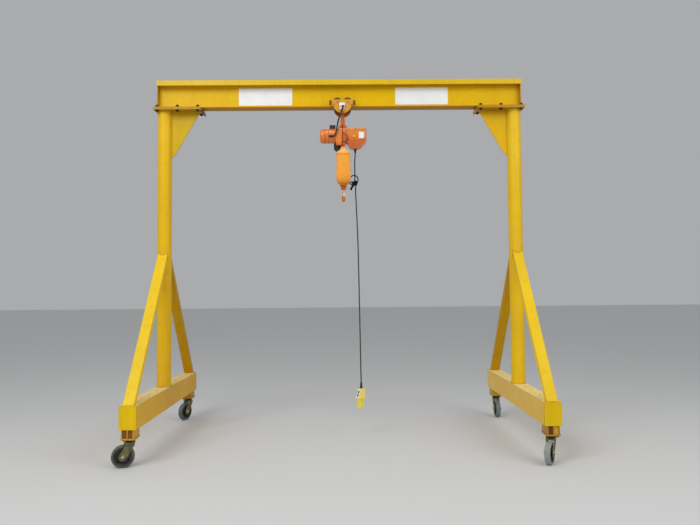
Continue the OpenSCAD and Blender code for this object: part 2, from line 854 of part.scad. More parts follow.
module hoist_control_box() {
    half = hoist_depth / 2;
    low_z = gland_z + gland_h;
    color(orange) {
        three_views(
            rounded([
                [box_x, box_mid_z, 0],
                [box_x + 38, box_mid_z - 60, 14],
                [gland_x - 22, low_z, 8],
                [gland_x + 22, low_z, 8],
                [box_x + box_w - 50, box_mid_z - 56, 14],
                [box_x + box_w, box_mid_z, 14],
                [box_x + box_w, box_top_z, 16],
                [box_x, box_top_z, 0]
            ]),
            rounded([
                [-half, box_top_z, 18],
                [-half, box_mid_z - 10, 40],
                [-half + 36, low_z, 16],
                [half - 36, low_z, 16],
                [half, box_mid_z - 10, 40],
                [half, box_top_z, 18]
            ]),
            rounded([
                [box_x, -half, 4],
                [box_x + box_w, -half, 28],
                [box_x + box_w, half, 28],
                [box_x, half, 4]
            ])
        );
        translate([eye_x, 0, box_top_z - cut]) {
            cylinder(r1 = 8, r2 = eye_wire_r, h = eye_stem_h + cut);
            translate([0, 0, eye_stem_h + eye_r]) rotate([90, 0, 0])
                rotate_extrude() translate([eye_r, 0]) circle(r = eye_wire_r);
        }
    }
}
inlet_l = 60;
inlet_w = 40;
inlet_h = 46;
inlet_sunk = 12;
inlet_gap = 6;
clamp_d = 22;
clamp_l = 34;
clamp_foot = [20, 24, 16];
module hoist_inlet() {
    color(dark) translate([gland_x, 0, gland_z]) cylinder(d = gland_d, h = gland_h);
    color(dark)
    difference() {
        union() {
            translate([gear_x - inlet_gap - inlet_l, -inlet_w / 2, hoist_top_z - inlet_sunk])
                cube([inlet_l, inlet_w, inlet_h]);
            translate(link_end - [clamp_l, 0, 0]) rotate([0, 90, 0])
                cylinder(d = clamp_d, h = clamp_l);
            translate(link_end - [clamp_l - 6, 0, clamp_foot[2] / 2]) cube(clamp_foot);
        }
        translate([gear_x + cut, 0, hoist_z]) rotate([0, -90, 0]) {
            cylinder(d = motor_d, h = motor_flange_t + cut, $fn = 72);
            cylinder(d = motor_d - 2 * motor_band, h = motor_l + cut, $fn = 72);
        }
    }
}
guide_t = 50;
guide_lip = 24;
guide_w = 54;
guide_h = 56;
module chain_guide() {
    color(dark)
    along_y(guide_t)
    polygon(rounded([
        [gear_x - guide_lip, gear_low_z + guide_lip, 0],
        [gear_x - guide_lip, gear_low_z + guide_lip - guide_w, 30],
        [gear_x + 14, gear_low_z - guide_h, 12],
        [gear_x + guide_w, gear_low_z - guide_h + 10, 6],
        [gear_x + guide_w, gear_low_z, 0],
        [gear_x, gear_low_z, 0],
        [gear_x, gear_low_z + guide_lip, 0]
    ]));
}

// Chain bag in front of the chain
chain_out = 5;
bag_x = trolley_x + chain_out;
bag_top_z = gear_low_z - bag_drop;
bag_back_y = -34;
bag_neck_w = 76;
bag_neck_d = 20;
bag_neck_h = 20;
bag_shoulder_h = 66;
module chain_bag() {
    half = bag_w / 2;
    deep = bag_d / 2;
    color(bag_orange)
    translate([bag_x, bag_back_y - deep, bag_top_z - bag_h])
    three_views(
        rounded([
            [20 - half, 0, 34],
            [half - 20, 0, 34],
            [half, 60, 50],
            [half, bag_h - bag_shoulder_h, 24],
            [bag_neck_w / 2, bag_h - bag_neck_h, 10],
            [bag_neck_w / 2, bag_h, 3],
            [-bag_neck_w / 2, bag_h, 3],
            [-bag_neck_w / 2, bag_h - bag_neck_h, 10],
            [-half, bag_h - bag_shoulder_h, 24],
            [-half, 60, 50]
        ]),
        rounded([
            [-deep, 0, 40],
            [deep, 0, 30],
            [deep, bag_h, 4],
            [-bag_neck_d, bag_h, 4],
            [-bag_neck_d, bag_h - bag_neck_h, 10],
            [-deep, bag_h - bag_shoulder_h, 24]
        ]),
        rounded_box([-half, -deep], [half, deep], 46)
    );
}

// Load chain: real links, each turned a quarter round from the last
chain_x = trolley_x + chain_out;
chain_play = 0.3;
link_step = chain_pitch - chain_play;
link_out = 24;
module chain_link() {
    bend = (link_out - chain_d) / 2;
    reach = (chain_pitch + chain_d) / 2 - bend;
    for (end = [0, 1]) mirror([0, 0, end])
        translate([0, 0, reach]) rotate([90, 0, 0])
        rotate_extrude(angle = 180, $fn = 24) translate([bend, 0]) circle(d = chain_d, $fn = 16);
    for (side = [-1, 1])
        translate([side * bend, 0, 0]) cylinder(d = chain_d, h = 2 * reach, center = true, $fn = 16);
}
link_h = chain_pitch + 2 * chain_d;
chain_top_z = gear_low_z - face_gap;
chain_low_z = chain_top_z - (links - 1) * link_step - link_h;
module load_chain() {
    color(steel)
    for (i = [0:links - 1])
        translate([chain_x, 0, chain_top_z - link_h / 2 - i * link_step])
        rotate(i % 2 * 90) chain_link();
}

// Hook block and hook
block_h = 97;
block_top_z = chain_low_z - face_gap;
block_low_z = block_top_z - block_h;
block_w = 72;
block_t = 52;
block_shoulder_h = 44;
block_top_in = 16;
shank_d = 20;
shank_seat = 30;
shank_head_d = 32;
shank_head_h = 10;
module hook_block() {
    half = block_w / 2;
    color(orange)
    translate([chain_x, 0, block_low_z])
    difference() {
        three_views(
            rounded([
                [10 - half, 0, 8],
                [half - 10, 0, 8],
                [half, block_h - block_shoulder_h, 30],
                [half - block_top_in, block_h, 14],
                [block_top_in - half, block_h, 14],
                [-half, block_h - block_shoulder_h, 30]
            ]),
            rounded_box([-block_t / 2, 0], [block_t / 2, block_h], 12),
            rounded_box([-half, -block_t / 2], [half, block_t / 2], 18)
        );
        translate([0, 0, -cut])
            cylinder(d = shank_d + 2 * running, h = shank_seat + cut);
        translate([0, 0, shank_seat - face_gap])
            cylinder(d = shank_head_d + 2 * face_gap, h = shank_head_h + 2 * face_gap);
    }
}

// A tube or a tapered bar swept along points in the XZ plane, with an ellipse at each point
function ring(p, t, w, b, sides) = [
    for (k = [0:sides - 1]) let (
        a = 360 * k / sides,
        n = [-t[1], 0, t[0]]
    )
    [p[0], 0, p[1]] + n * w / 2 * cos(a) + [0, 1, 0] * b / 2 * sin(a)
];
function heading(list, i) =
    unit(list[min(i + 1, len(list) - 1)] - list[max(i - 1, 0)]);
module swept(rings, sides) {
    n = len(rings);
    points = [for (r = rings) each r];
    walls = [
        for (i = [0:n - 2], k = [0:sides - 1])
            let (a = i * sides + k, b = i * sides + (k + 1) % sides)
            each [[a, b, b + sides], [a, b + sides, a + sides]]
    ];
    low = [[for (k = [sides - 1:-1:0]) k]];
    high = [[for (k = [0:sides - 1]) (n - 1) * sides + k]];
    polyhedron(points = points, faces = concat(low, walls, high), convexity = 6);
}
hook_turn = -60;
latch_pin = [4, 60];
latch_pin_d = 5;
latch_ear_y = 10;
latch_nose_y = 20;
hook_bowl_r = 24;
hook_top = 80;
hook_centre_z = block_low_z - hook_top - 10;
head_z = block_low_z + shank_seat - hook_centre_z;
hook_line = concat(
    [[0, hook_top], [0, 66], [-2, 54], [-10, 44]],
    [for (a = [140:10:390]) hook_bowl_r * [cos(a), sin(a)]],
    [[19, 17], [20, 22]]
);
function hook_w(i) = let (s = i / (len(hook_line) - 1)) 16 + 8 * sin(180 * s) - 6 * pow(s, 4);
function hook_b(i) = let (s = i / (len(hook_line) - 1)) 16 + 3 * sin(180 * s) - 6 * pow(s, 4);
module hook() {
    color(orange)
    translate([chain_x, 0, hook_centre_z]) rotate(hook_turn) {
        swept([
            for (i = [0:len(hook_line) - 1])
                ring(hook_line[i], heading(hook_line, i), hook_w(i), hook_b(i), 12)
        ], 12);
        translate([0, 0, hook_top - 4])
            cylinder(d = shank_d, h = head_z - hook_top + 5);
        translate([0, 0, head_z]) cylinder(d = shank_head_d, h = shank_head_h);
        translate([latch_pin[0], 0, latch_pin[1]]) rotate([90, 0, 0])
            cylinder(d = latch_pin_d, h = 2 * latch_ear_y + 7, center = true);
    }
}
// Latch: a sheet channel on a pin through the hook's neck, closed against the nose
latch_in = 9.5;
latch_out = 12;
latch_top = 56;
latch_low = 19;
latch_round = 5;
module hook_latch() {
    color(steel)
    translate([chain_x, 0, hook_centre_z]) rotate(hook_turn)
    difference() {
        union() {
            for (side = [-1, 1])
                translate([0, side * (latch_ear_y + 1), 0]) along_y(2)
                polygon(concat(
                    arc(latch_pin, 6, 60, 250, 10),
                    [[latch_in, latch_top - 12], [latch_out, latch_top - 12], [latch_out, latch_top + 6]]
                ));
            intersection() {
                along_y(2 * latch_nose_y)
                    polygon([
                        [latch_in, latch_top],
                        [latch_out, latch_top],
                        [latch_out + 1, latch_low],
                        [latch_in + 1, latch_low]
                    ]);
                along_x(4 * latch_out)
                    polygon([
                        [-latch_ear_y - 2, latch_top],
                        [-latch_nose_y, latch_low + latch_round],
                        [-latch_nose_y + 4, latch_low],
                        [latch_nose_y - 4, latch_low],
                        [latch_nose_y, latch_low + latch_round],
                        [latch_ear_y + 2, latch_top]
                    ]);
            }
        }
        translate([latch_pin[0], 0, latch_pin[1]]) rotate([90, 0, 0])
            cylinder(d = latch_pin_d + 2 * running, h = 4 * latch_nose_y, center = true);
    }
}

// Cables: each is a tube along its own points
function along3(list, i) = unit(list[min(i + 1, len(list) - 1)] - list[max(i - 1, 0)]);
function tube_ring(p, t, d, sides) =
    let (
        side = unit(cross(t, abs(t[1]) > 0.9 ? [1, 0, 0] : [0, 1, 0])),
        up = cross(side, t)
    )
    [for (k = [0:sides - 1]) p + d / 2 * (side * cos(360 * k / sides) + up * sin(360 * k / sides))];
module cable(list, d) {
    swept([for (i = [0:len(list) - 1]) tube_ring(list[i], along3(list, i), d, 10)], 10);
}
module link_cable() { color(dark) cable(link_points, link_d); }
module pendant_cable() { color(dark) cable(pendant_points, cable_d); }

// Pendant: a moulded grip below a head whose control face slants out, turned to the left
boot_h = 60;
pendant_at = pendant_points[len(pendant_points) - 1] - [0, 0, boot_h];
pendant_turn = -60;
boot_foot_d = 34;
boot_top_d = 18;
boot_rim_h = 6;
face_top = [-20, -6];
face_low = [-46, -98];
head_back = 34;
grip_back = 20;
button_d = 20;
button_out = 6;
button_at = [0.34, 0.68];
module pendant_pose() {
    translate(pendant_at) rotate(pendant_turn) children();
}
module pendant_boot() {
    color(dark)
    translate(pendant_at) {
        cylinder(d = boot_foot_d, h = boot_rim_h);
        cylinder(d1 = boot_foot_d - 8, d2 = boot_top_d, h = boot_h);
    }
}
module pendant_body() {
    half = pendant_w / 2;
    grip_front = grip_back - pendant_t;
    grip_half = half - 8;
    neck_z = face_low[1] - 14;
    color(bag_orange)
    pendant_pose()
    three_views(
        rounded([
            [4 - grip_half, -pendant_h, 12],
            [grip_half - 4, -pendant_h, 12],
            [grip_half, neck_z, 10],
            [half, face_low[1], 10],
            [half, 0, 10],
            [-half, 0, 10],
            [-half, face_low[1], 10],
            [-grip_half, neck_z, 10]
        ]),
        rounded([
            [grip_front + 4, -pendant_h, 12],
            [grip_back - 4, -pendant_h, 14],
            [grip_back, neck_z, 10],
            [head_back, face_low[1], 8],
            [head_back - 4, 0, 12],
            [face_top[0] + 2, 0, 4],
            [face_top[0], face_top[1], 4],
            [face_low[0], face_low[1], 4],
            [grip_front, neck_z, 8]
        ]),
        rounded_box([-half, face_low[0] - 1], [half, head_back], 10)
    );
}
module pendant_buttons() {
    face = face_low - face_top;
    color(dark)
    pendant_pose()
    for (t = button_at)
        translate([0, face_top[0] + t * face[0], face_top[1] + t * face[1]])
        rotate([atan2(-face[1], -face[0]), 0, 0])
        cylinder(d = button_d, h = button_out);
}

main_beam();
beam_cap_channel();
beam_end_plates();
seat_plates();
leg_top_plates();
knee_gussets();
joint_bolts();
end_stops();
column_left();
column_right();
base_beam_left();
base_beam_right();
base_end_caps();
struts_left();
struts_right();
caster_stubs();
caster_plates();
caster_fork(-column_x, -caster_base / 2, turn_front_left);  // caster_fork_front_left
caster_fork(column_x, -caster_base / 2, turn_front_right);  // caster_fork_front_right
caster_fork(-column_x, caster_base / 2, turn_rear_left);  // caster_fork_rear_left
caster_fork(column_x, caster_base / 2, turn_rear_right);  // caster_fork_rear_right
caster_wheel(-column_x, -caster_base / 2, turn_front_left);  // caster_wheel_front_left
caster_wheel(column_x, -caster_base / 2, turn_front_right);  // caster_wheel_front_right
caster_wheel(-column_x, caster_base / 2, turn_rear_left);  // caster_wheel_rear_left
caster_wheel(column_x, caster_base / 2, turn_rear_right);  // caster_wheel_rear_right
caster_tyre(-column_x, -caster_base / 2, turn_front_left);  // caster_tyre_front_left
caster_tyre(column_x, -caster_base / 2, turn_front_right);  // caster_tyre_front_right
caster_tyre(-column_x, caster_base / 2, turn_rear_left);  // caster_tyre_rear_left
caster_tyre(column_x, caster_base / 2, turn_rear_right);  // caster_tyre_rear_right
trolley_plate_front();
trolley_plate_rear();
trolley_bumpers();
trolley_load_bolt();
trolley_wheel_front_left();
trolley_wheel_front_right();
trolley_wheel_rear_left();
trolley_wheel_rear_right();
hoist_lug();
hoist_gear_case();
hoist_motor();
hoist_control_box();
hoist_inlet();
chain_guide();
chain_bag();
load_chain();
hook_block();
hook();
hook_latch();
link_cable();
pendant_cable();
pendant_boot();
pendant_body();
pendant_buttons();
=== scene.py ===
"""A rolling workshop gantry crane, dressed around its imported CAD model."""

import math
import random
from itertools import product

import bmesh
import bpy
from mathutils import Matrix, Vector


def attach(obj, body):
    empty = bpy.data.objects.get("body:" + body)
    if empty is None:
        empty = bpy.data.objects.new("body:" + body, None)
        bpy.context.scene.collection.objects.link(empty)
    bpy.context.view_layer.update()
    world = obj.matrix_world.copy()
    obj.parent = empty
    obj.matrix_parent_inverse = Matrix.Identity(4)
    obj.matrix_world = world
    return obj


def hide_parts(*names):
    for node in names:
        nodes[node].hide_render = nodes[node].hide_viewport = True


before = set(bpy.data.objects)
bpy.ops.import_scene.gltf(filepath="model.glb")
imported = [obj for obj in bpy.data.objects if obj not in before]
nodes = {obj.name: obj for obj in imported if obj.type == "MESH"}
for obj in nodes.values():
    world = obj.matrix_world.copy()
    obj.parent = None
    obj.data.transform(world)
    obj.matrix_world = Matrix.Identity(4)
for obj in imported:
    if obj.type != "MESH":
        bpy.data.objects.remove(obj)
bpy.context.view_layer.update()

scene = bpy.context.scene
scene.view_settings.view_transform = "Standard"

# Camera
# It stands where the photographer stood, six metres off and a little right of the middle,
# at eye height, tipped up slightly and rolled by half a degree.
camera_place = Vector((0.0482, -6.1634, 1.5000))
camera_yaw, camera_pitch, camera_roll = 0.00748, 0.04118, -0.00816
focal_pixels, picture_width, sensor_mm = 607.56, 700, 36.0
ahead = Vector((
    math.sin(camera_yaw) * math.cos(camera_pitch),
    math.cos(camera_yaw) * math.cos(camera_pitch),
    math.sin(camera_pitch),
))
level_right = Vector((math.cos(camera_yaw), -math.sin(camera_yaw), 0))
level_up = level_right.cross(ahead)
right = level_right * math.cos(camera_roll) + level_up * math.sin(camera_roll)
up = level_up * math.cos(camera_roll) - level_right * math.sin(camera_roll)
camera_data = bpy.data.cameras.new("photo_camera")
camera_data.sensor_width = sensor_mm
camera_data.lens = focal_pixels / picture_width * sensor_mm
camera = bpy.data.objects.new("photo_camera", camera_data)
camera.matrix_world = Matrix.Translation(camera_place) @ Matrix((
    (right.x, up.x, -ahead.x),
    (right.y, up.y, -ahead.y),
    (right.z, up.z, -ahead.z),
)).to_4x4()
scene.collection.objects.link(camera)
scene.camera = camera

# Cables
# Black rubber-sheathed flex. One short length links the trolley to the motor, and the long one
# hangs from the control box, is gathered in one loop, and carries the pendant.


class Shading:
    """Short calls for the nodes of a material or a node group.

    They take sockets, numbers and colours, and each gives back the socket that it makes."""

    def __init__(self, tree):
        self.tree = tree
        self.shader = tree.nodes.get("Principled BSDF")
        self.place = None

    def feed(self, target, inputs):
        """Links each socket, or sets each number or colour, on a node's inputs."""
        for key, value in inputs.items():
            if isinstance(value, bpy.types.NodeSocket):
                self.tree.links.new(value, target.inputs[key])
            else:
                target.inputs[key].default_value = value

    def surface(self, inputs):
        """Feeds the shader."""
        self.feed(self.shader, inputs)

    def node(self, kind, inputs, output=0, operation=None):
        """Adds a node, feeds it, and gives one of its outputs."""
        made = self.tree.nodes.new(kind)
        if operation:
            made.operation = operation
        self.feed(made, inputs)
        return made.outputs[output]

    def at(self):
        """The object's own coordinates."""
        self.place = self.place or self.node("ShaderNodeTexCoord", {}, "Object")
        return self.place

    def part(self, vector, axis):
        """The x, y or z of a vector."""
        return self.node("ShaderNodeSeparateXYZ", {0: vector}, axis.upper())

    def noise(self, scale, detail=4.0, roughness=0.55, stretch=None):
        """A noise over the object, which may be stretched along each axis."""
        at = self.at()
        if stretch:
            at = self.node("ShaderNodeMapping", {"Vector": at, "Scale": stretch})
        return self.node("ShaderNodeTexNoise", {
            "Vector": at, "Scale": scale, "Detail": detail, "Roughness": roughness}, "Fac")

    def spread(self, value, low, high, to_low=0.0, to_high=1.0):
        """A value stretched from one range to another, and clamped."""
        return self.node("ShaderNodeMapRange", {
            "Value": value, "From Min": low, "From Max": high, "To Min": to_low, "To Max": to_high})

    def maths(self, operation, first, second=0.0):
        """Two values joined by one operation."""
        return self.node("ShaderNodeMath", {0: first, 1: second}, operation=operation)

    def times(self, first, *others):
        """The product of values."""
        for other in others:
            first = self.maths("MULTIPLY", first, other)
        return first

    def plus(self, first, *others):
        """The sum of values."""
        for other in others:
            first = self.maths("ADD", first, other)
        return first

    def away(self, value, middle):
        """How far a value lies from a middle one."""
        return self.maths("ABSOLUTE", self.maths("SUBTRACT", value, middle))

    def mixed(self, mask, first, second, blend="MIX"):
        """A colour mixed from two, or blended in another way."""
        mix = self.tree.nodes.new("ShaderNodeMix")
        mix.data_type, mix.blend_type = "RGBA", blend
        self.feed(mix, {0: mask, 6: first, 7: second})
        return mix.outputs[2]

    def tinted(self, first, second):
        """A colour multiplied by another colour or by a value."""
        return self.mixed(1.0, first, second, "MULTIPLY")

    def recolour(self, mask, colour, blend="MIX"):
        """Lays a colour over the shader's own one, where the mask says."""
        plain = self.shader.inputs["Base Color"].links[0].from_socket
        self.surface({"Base Color": self.mixed(mask, plain, colour, blend)})

    def bump(self, height, strength, distance):
        """Lets a height shape the shader's normal."""
        self.surface({"Normal": self.node("ShaderNodeBump", {
            "Strength": strength, "Distance": distance, "Height": height}, "Normal")})


def material(name):
    """A new material, and the calls that shade it."""
    made = bpy.data.materials.new(name)
    made.use_nodes = True
    return made, Shading(made.node_tree)


# The routes are in millimetres, as in the part's source. The link cable's middle bows a little
# further left than there.
link_route = [
    (33, -108, 3336), (32, -108, 3322), (26, -109, 3296), (14, -109, 3262), (2, -107, 3226),
    (-13, -103, 3180), (-24, -98, 3130), (-31, -94, 3096), (-37, -91, 3066), (-46, -90, 3042),
    (-58, -90, 3030), (-66, -90, 3028), (-75, -90, 3028),
]
pendant_route = [
    (157, 0, 2896), (157, 0, 2876), (154, 0, 2832), (151, 0, 2785), (150, 2, 2730), (151, 4, 2680),
    (151, 7, 2640), (151, 8, 2605), (151, 8, 2574), (148, 7, 2561), (138, 6, 2551), (125, 5, 2548),
    (112, 4, 2551), (102, 2, 2561), (99, 1, 2574), (99, -1, 2600), (103, -3, 2618), (115, -5, 2633),
    (131, -6, 2641), (150, -8, 2641), (167, -9, 2633), (179, -9, 2619), (183, -8, 2601),
    (179, -8, 2583), (168, -7, 2568), (160, -6, 2558), (157, -4, 2545), (157, -3, 2505),
    (158, -1, 2450), (161, 0, 2390), (165, 0, 2280), (171, 0, 2130), (178, 0, 1900), (183, 0, 1600),
    (187, 0, 1300), (191, 0, 1000), (194, 0, 750), (196, 0, 620), (197, 0, 547),
]
link_radius, pendant_radius = 0.008, 0.006


def metres(points):
    """Points in millimetres as vectors in metres."""
    return [Vector([value / 1000 for value in point]) for point in points]


def smoothed(points, parts=5):
    """Points along a smooth curve that passes through all the given ones."""
    ends = [points[0] * 2 - points[1], *points, points[-1] * 2 - points[-2]]
    line = []
    for a, b, c, d in zip(ends, ends[1:], ends[2:], ends[3:]):
        for t in (k / parts for k in range(parts)):
            line.append((b * 2 + (c - a) * t + (a * 2 - b * 5 + c * 4 - d) * t ** 2
                         + (b * 3 - a - c * 3 + d) * t ** 3) / 2)
    return line + [points[-1]]


def cable_piece(name, points, radius, stands_for):
    """A round cable along points, in its rubber sheath, in place of a CAD node."""
    curve = bpy.data.curves.new(name, "CURVE")
    curve.dimensions = "3D"
    curve.bevel_depth = radius
    curve.bevel_resolution = 4
    curve.use_fill_caps = True
    line = curve.splines.new("POLY")
    line.points.add(len(points) - 1)
    for place, point in zip(line.points, points):
        place.co = (*point, 1)
    flex = bpy.data.objects.new(name, curve)
    flex.data.materials.append(sheath)
    scene.collection.objects.link(flex)
    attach(flex, "trolley")
    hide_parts(stands_for)
    return flex


sheath, shade = material("cable_sheath")
sheath_dust = shade.spread(shade.noise(40), 0.45, 0.75, 0, 0.5)
shade.surface({"Roughness": 0.5, "Base Color": shade.mixed(
    sheath_dust, (0.012, 0.012, 0.013, 1), (0.05, 0.048, 0.045, 1))})
link_points, pendant_points = smoothed(metres(link_route)), smoothed(metres(pendant_route))
link_flex = cable_piece("link_flex", link_points, link_radius, "link_cable")
pendant_flex = cable_piece("pendant_flex", pendant_points, pendant_radius, "pendant_cable")

RIGHT, BACK, UP = Vector((1, 0, 0)), Vector((0, 1, 0)), Vector((0, 0, 1))


def circle(middle, across, along, count):
    """Points round a circle or an ellipse whose half axes are the two vectors."""
    return [middle + across * math.cos(a) + along * math.sin(a)
            for a in (math.tau * k / count for k in range(count))]


def skin(mesh, rings, closed=False):
    """Adds a skin over rings of points, of which some may be a single point.

    An end ring of more points is capped, unless the line of rings is closed."""
    rings = [[mesh.verts.new(point) for point in ring] for ring in rings]
    count = max(len(ring) for ring in rings)
    for low, high in zip(rings, rings[1:] + (rings[:1] if closed else [])):
        for k in range(count):
            places = (low, k), (low, k + 1), (high, k + 1), (high, k)
            corners = list(dict.fromkeys(ring[j % len(ring)] for ring, j in places))
            if len(corners) > 2:
                mesh.faces.new(corners)
    if not closed:
        for ring in (rings[0], rings[-1][::-1]):
            if len(ring) > 2:
                mesh.faces.new(ring)


def tube(mesh, line, radii, sides, closed=False):
    """Adds a swept tube: one radius for the whole line, or one for each of its points."""
    rings, side = [], None
    for index, point in enumerate(line):
        before = line[index - 1] if index or closed else line[0]
        after = line[(index + 1) % len(line)] if index < len(line) - 1 or closed else line[-1]
        along = (after - before).normalized()
        guide = side or (UP if abs(along.z) < 0.9 else RIGHT)
        side = (guide - along * guide.dot(along)).normalized()
        radius = radii[index] if isinstance(radii, list) else radii
        rings.append(circle(point, side * radius, along.cross(side) * radius, sides))
    skin(mesh, rings, closed)


def hoop(mesh, middle, across, along, count, radius, sides):
    """Adds a closed tube along a circle or an ellipse."""
    tube(mesh, circle(middle, across, along, count), radius, sides, closed=True)


def lathe(mesh, place, axis, profile, sides=24, phase=0.0):
    """Adds a turned form: profile pairs of radius and height along the axis from the place."""
    axis = Vector(axis).normalized()
    side = axis.orthogonal().normalized()
    across = side * math.cos(phase) + axis.cross(side) * math.sin(phase)
    skin(mesh, [
        circle(Vector(place) + axis * height, across * radius, axis.cross(across) * radius,
               sides if radius > 0 else 1)
        for radius, height in profile])


def resampled(corners, step):
    """Points at an even step along a line of corners."""
    points = [corners[0]]
    for start, end in zip(corners, corners[1:]):
        pieces = max(1, round((end - start).length / step))
        points += [start.lerp(end, (k + 1) / pieces) for k in range(pieces)]
    return points


def piece(name, mesh, finish, body, smooth):
    """Makes an object of a bmesh, gives it its material, and lets it ride on its body."""
    data = bpy.data.meshes.new(name)
    bmesh.ops.recalc_face_normals(mesh, faces=mesh.faces)
    mesh.to_mesh(data)
    mesh.free()
    data.polygons.foreach_set("use_smooth", [True] * len(data.polygons))
    data.set_sharp_from_angle(angle=math.radians(smooth))
    made = bpy.data.objects.new(name, data)
    made.data.materials.append(finish)
    scene.collection.objects.link(made)
    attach(made, body)
    return made


# Cord tie: the loop is bound to the falling cable by two layers of thin black cord with a knot,
# and the cord's two ends hang down.
tie_mesh = bmesh.new()
tie_middle = Vector((0.1545, 0.0010, 2.5640))
tie_along, tie_across = Vector((0.34, 0, 0.94)), Vector((0.94, 0, -0.34))
cord_radius, tail_radius, turn_steps = 0.0032, 0.0058, 20
for turns, wide, deep, rise in ((8, 0.0175, 0.0160, 0.0460), (6, 0.0210, 0.0195, 0.0360)):
    steps = turns * turn_steps
    wound = [tie_middle + tie_along * (k / steps - 0.5) * rise
             + tie_across * math.cos(math.tau * k / turn_steps) * wide
             + BACK * math.sin(math.tau * k / turn_steps) * deep for k in range(steps + 1)]
    tube(tie_mesh, wound, cord_radius, 8)
for tail in (
    ((144, -14.5, 2560), (134, -16, 2548), (121, -14, 2530), (109, -11, 2510), (102, -10, 2496)),
    ((150, -16, 2557), (142, -17, 2544), (130, -15, 2525), (118, -13, 2506), (110, -12, 2489)),
):
    tube(tie_mesh, resampled(metres(tail), 0.003), tail_radius, 8)
knot_middle = Vector((0.1310, -0.0215, 2.5640))
knot_radius, knot_size, knot_depth = 0.0054, 0.0078, 0.0030
knot = [knot_middle + Vector((knot_size * (math.sin(a) + 1.3 * math.sin(2 * a)),
                              -knot_depth * math.sin(3 * a),
                              knot_size * (math.cos(a) - 1.3 * math.cos(2 * a))))
        for a in (math.tau * k / 60 for k in range(60))]
tube(tie_mesh, knot, knot_radius, 8, closed=True)
cord_black, shade = material("tie_cord")
cord_weave = shade.noise(700, 3, 0.6)
shade.surface({"Roughness": 0.85, "Specular IOR Level": 0.2, "Base Color": shade.mixed(
    shade.spread(cord_weave, 0.4, 0.7), (0.006, 0.006, 0.006, 1), (0.016, 0.015, 0.015, 1))})
shade.bump(cord_weave, 0.4, 0.0004)
cord_tie = piece("cord_tie", tie_mesh, cord_black, "trolley", 60)

# Ribbed rubber sleeves stiffen both cables where they leave the castings
sleeve_mesh = bmesh.new()
for place, axis in ((pendant_points[0], -UP), (link_points[0], -UP), (link_points[-1], RIGHT)):
    lathe(sleeve_mesh, place, axis, [
        (0, 0), (0.0115, 0), (0.0118, 0.003), (0.0102, 0.0042), (0.0108, 0.0075), (0.0096, 0.0087),
        (0.0101, 0.0120), (0.0090, 0.0132), (0.0095, 0.0165), (0.0087, 0.0180), (0.0084, 0.0215),
        (0, 0.0215)])
piece("cable_sleeves", sleeve_mesh, sheath, "trolley", 50)

# Painted steelwork
# Every beam, plate, pipe and strut is one coat of glossy yellow machine enamel over bare steel.
# It has runs, scratches and chipped arrises, and dust lies on whatever faces up.


def screen(red, green, blue):
    """A colour read as screen values, turned into the linear values that a shader takes."""
    return (*(((v / 255 + 0.055) / 1.055) ** 2.4 for v in (red, green, blue)), 1)


def group(name, surface, colours, values):
    """A node group whose colour, roughness and height a function works out of its inputs."""
    tree = bpy.data.node_groups.new(name, "ShaderNodeTree")
    kinds = {"colour": "NodeSocketColor", "value": "NodeSocketFloat"}
    for labels, kind in ((colours, "colour"), (values, "value")):
        for label in labels:
            tree.interface.new_socket(label, in_out="INPUT", socket_type=kinds[kind])
    results = {"Colour": "colour", "Roughness": "value", "Height": "value"}
    for label, kind in results.items():
        tree.interface.new_socket(label, in_out="OUTPUT", socket_type=kinds[kind])
    given, result = tree.nodes.new("NodeGroupInput"), tree.nodes.new("NodeGroupOutput")
    shade = Shading(tree)
    made = surface(shade, *(given.outputs[label] for label in (*colours, *values)))
    shade.feed(result, dict(zip(results, made)))
    return tree


def grouped(name, tree, colours, values, strength, relief, others):
    """A material of a node group with its own colours and values, and others on the shader."""
    made, shade = material(name)
    worn = shade.tree.nodes.new("ShaderNodeGroup")
    worn.node_tree = tree
    shade.feed(worn, dict(enumerate((*(screen(*colour) for colour in colours), *values))))
    shade.surface({"Base Color": worn.outputs["Colour"], "Roughness": worn.outputs["Roughness"], **others})
    shade.bump(worn.outputs["Height"], strength, relief)
    return made


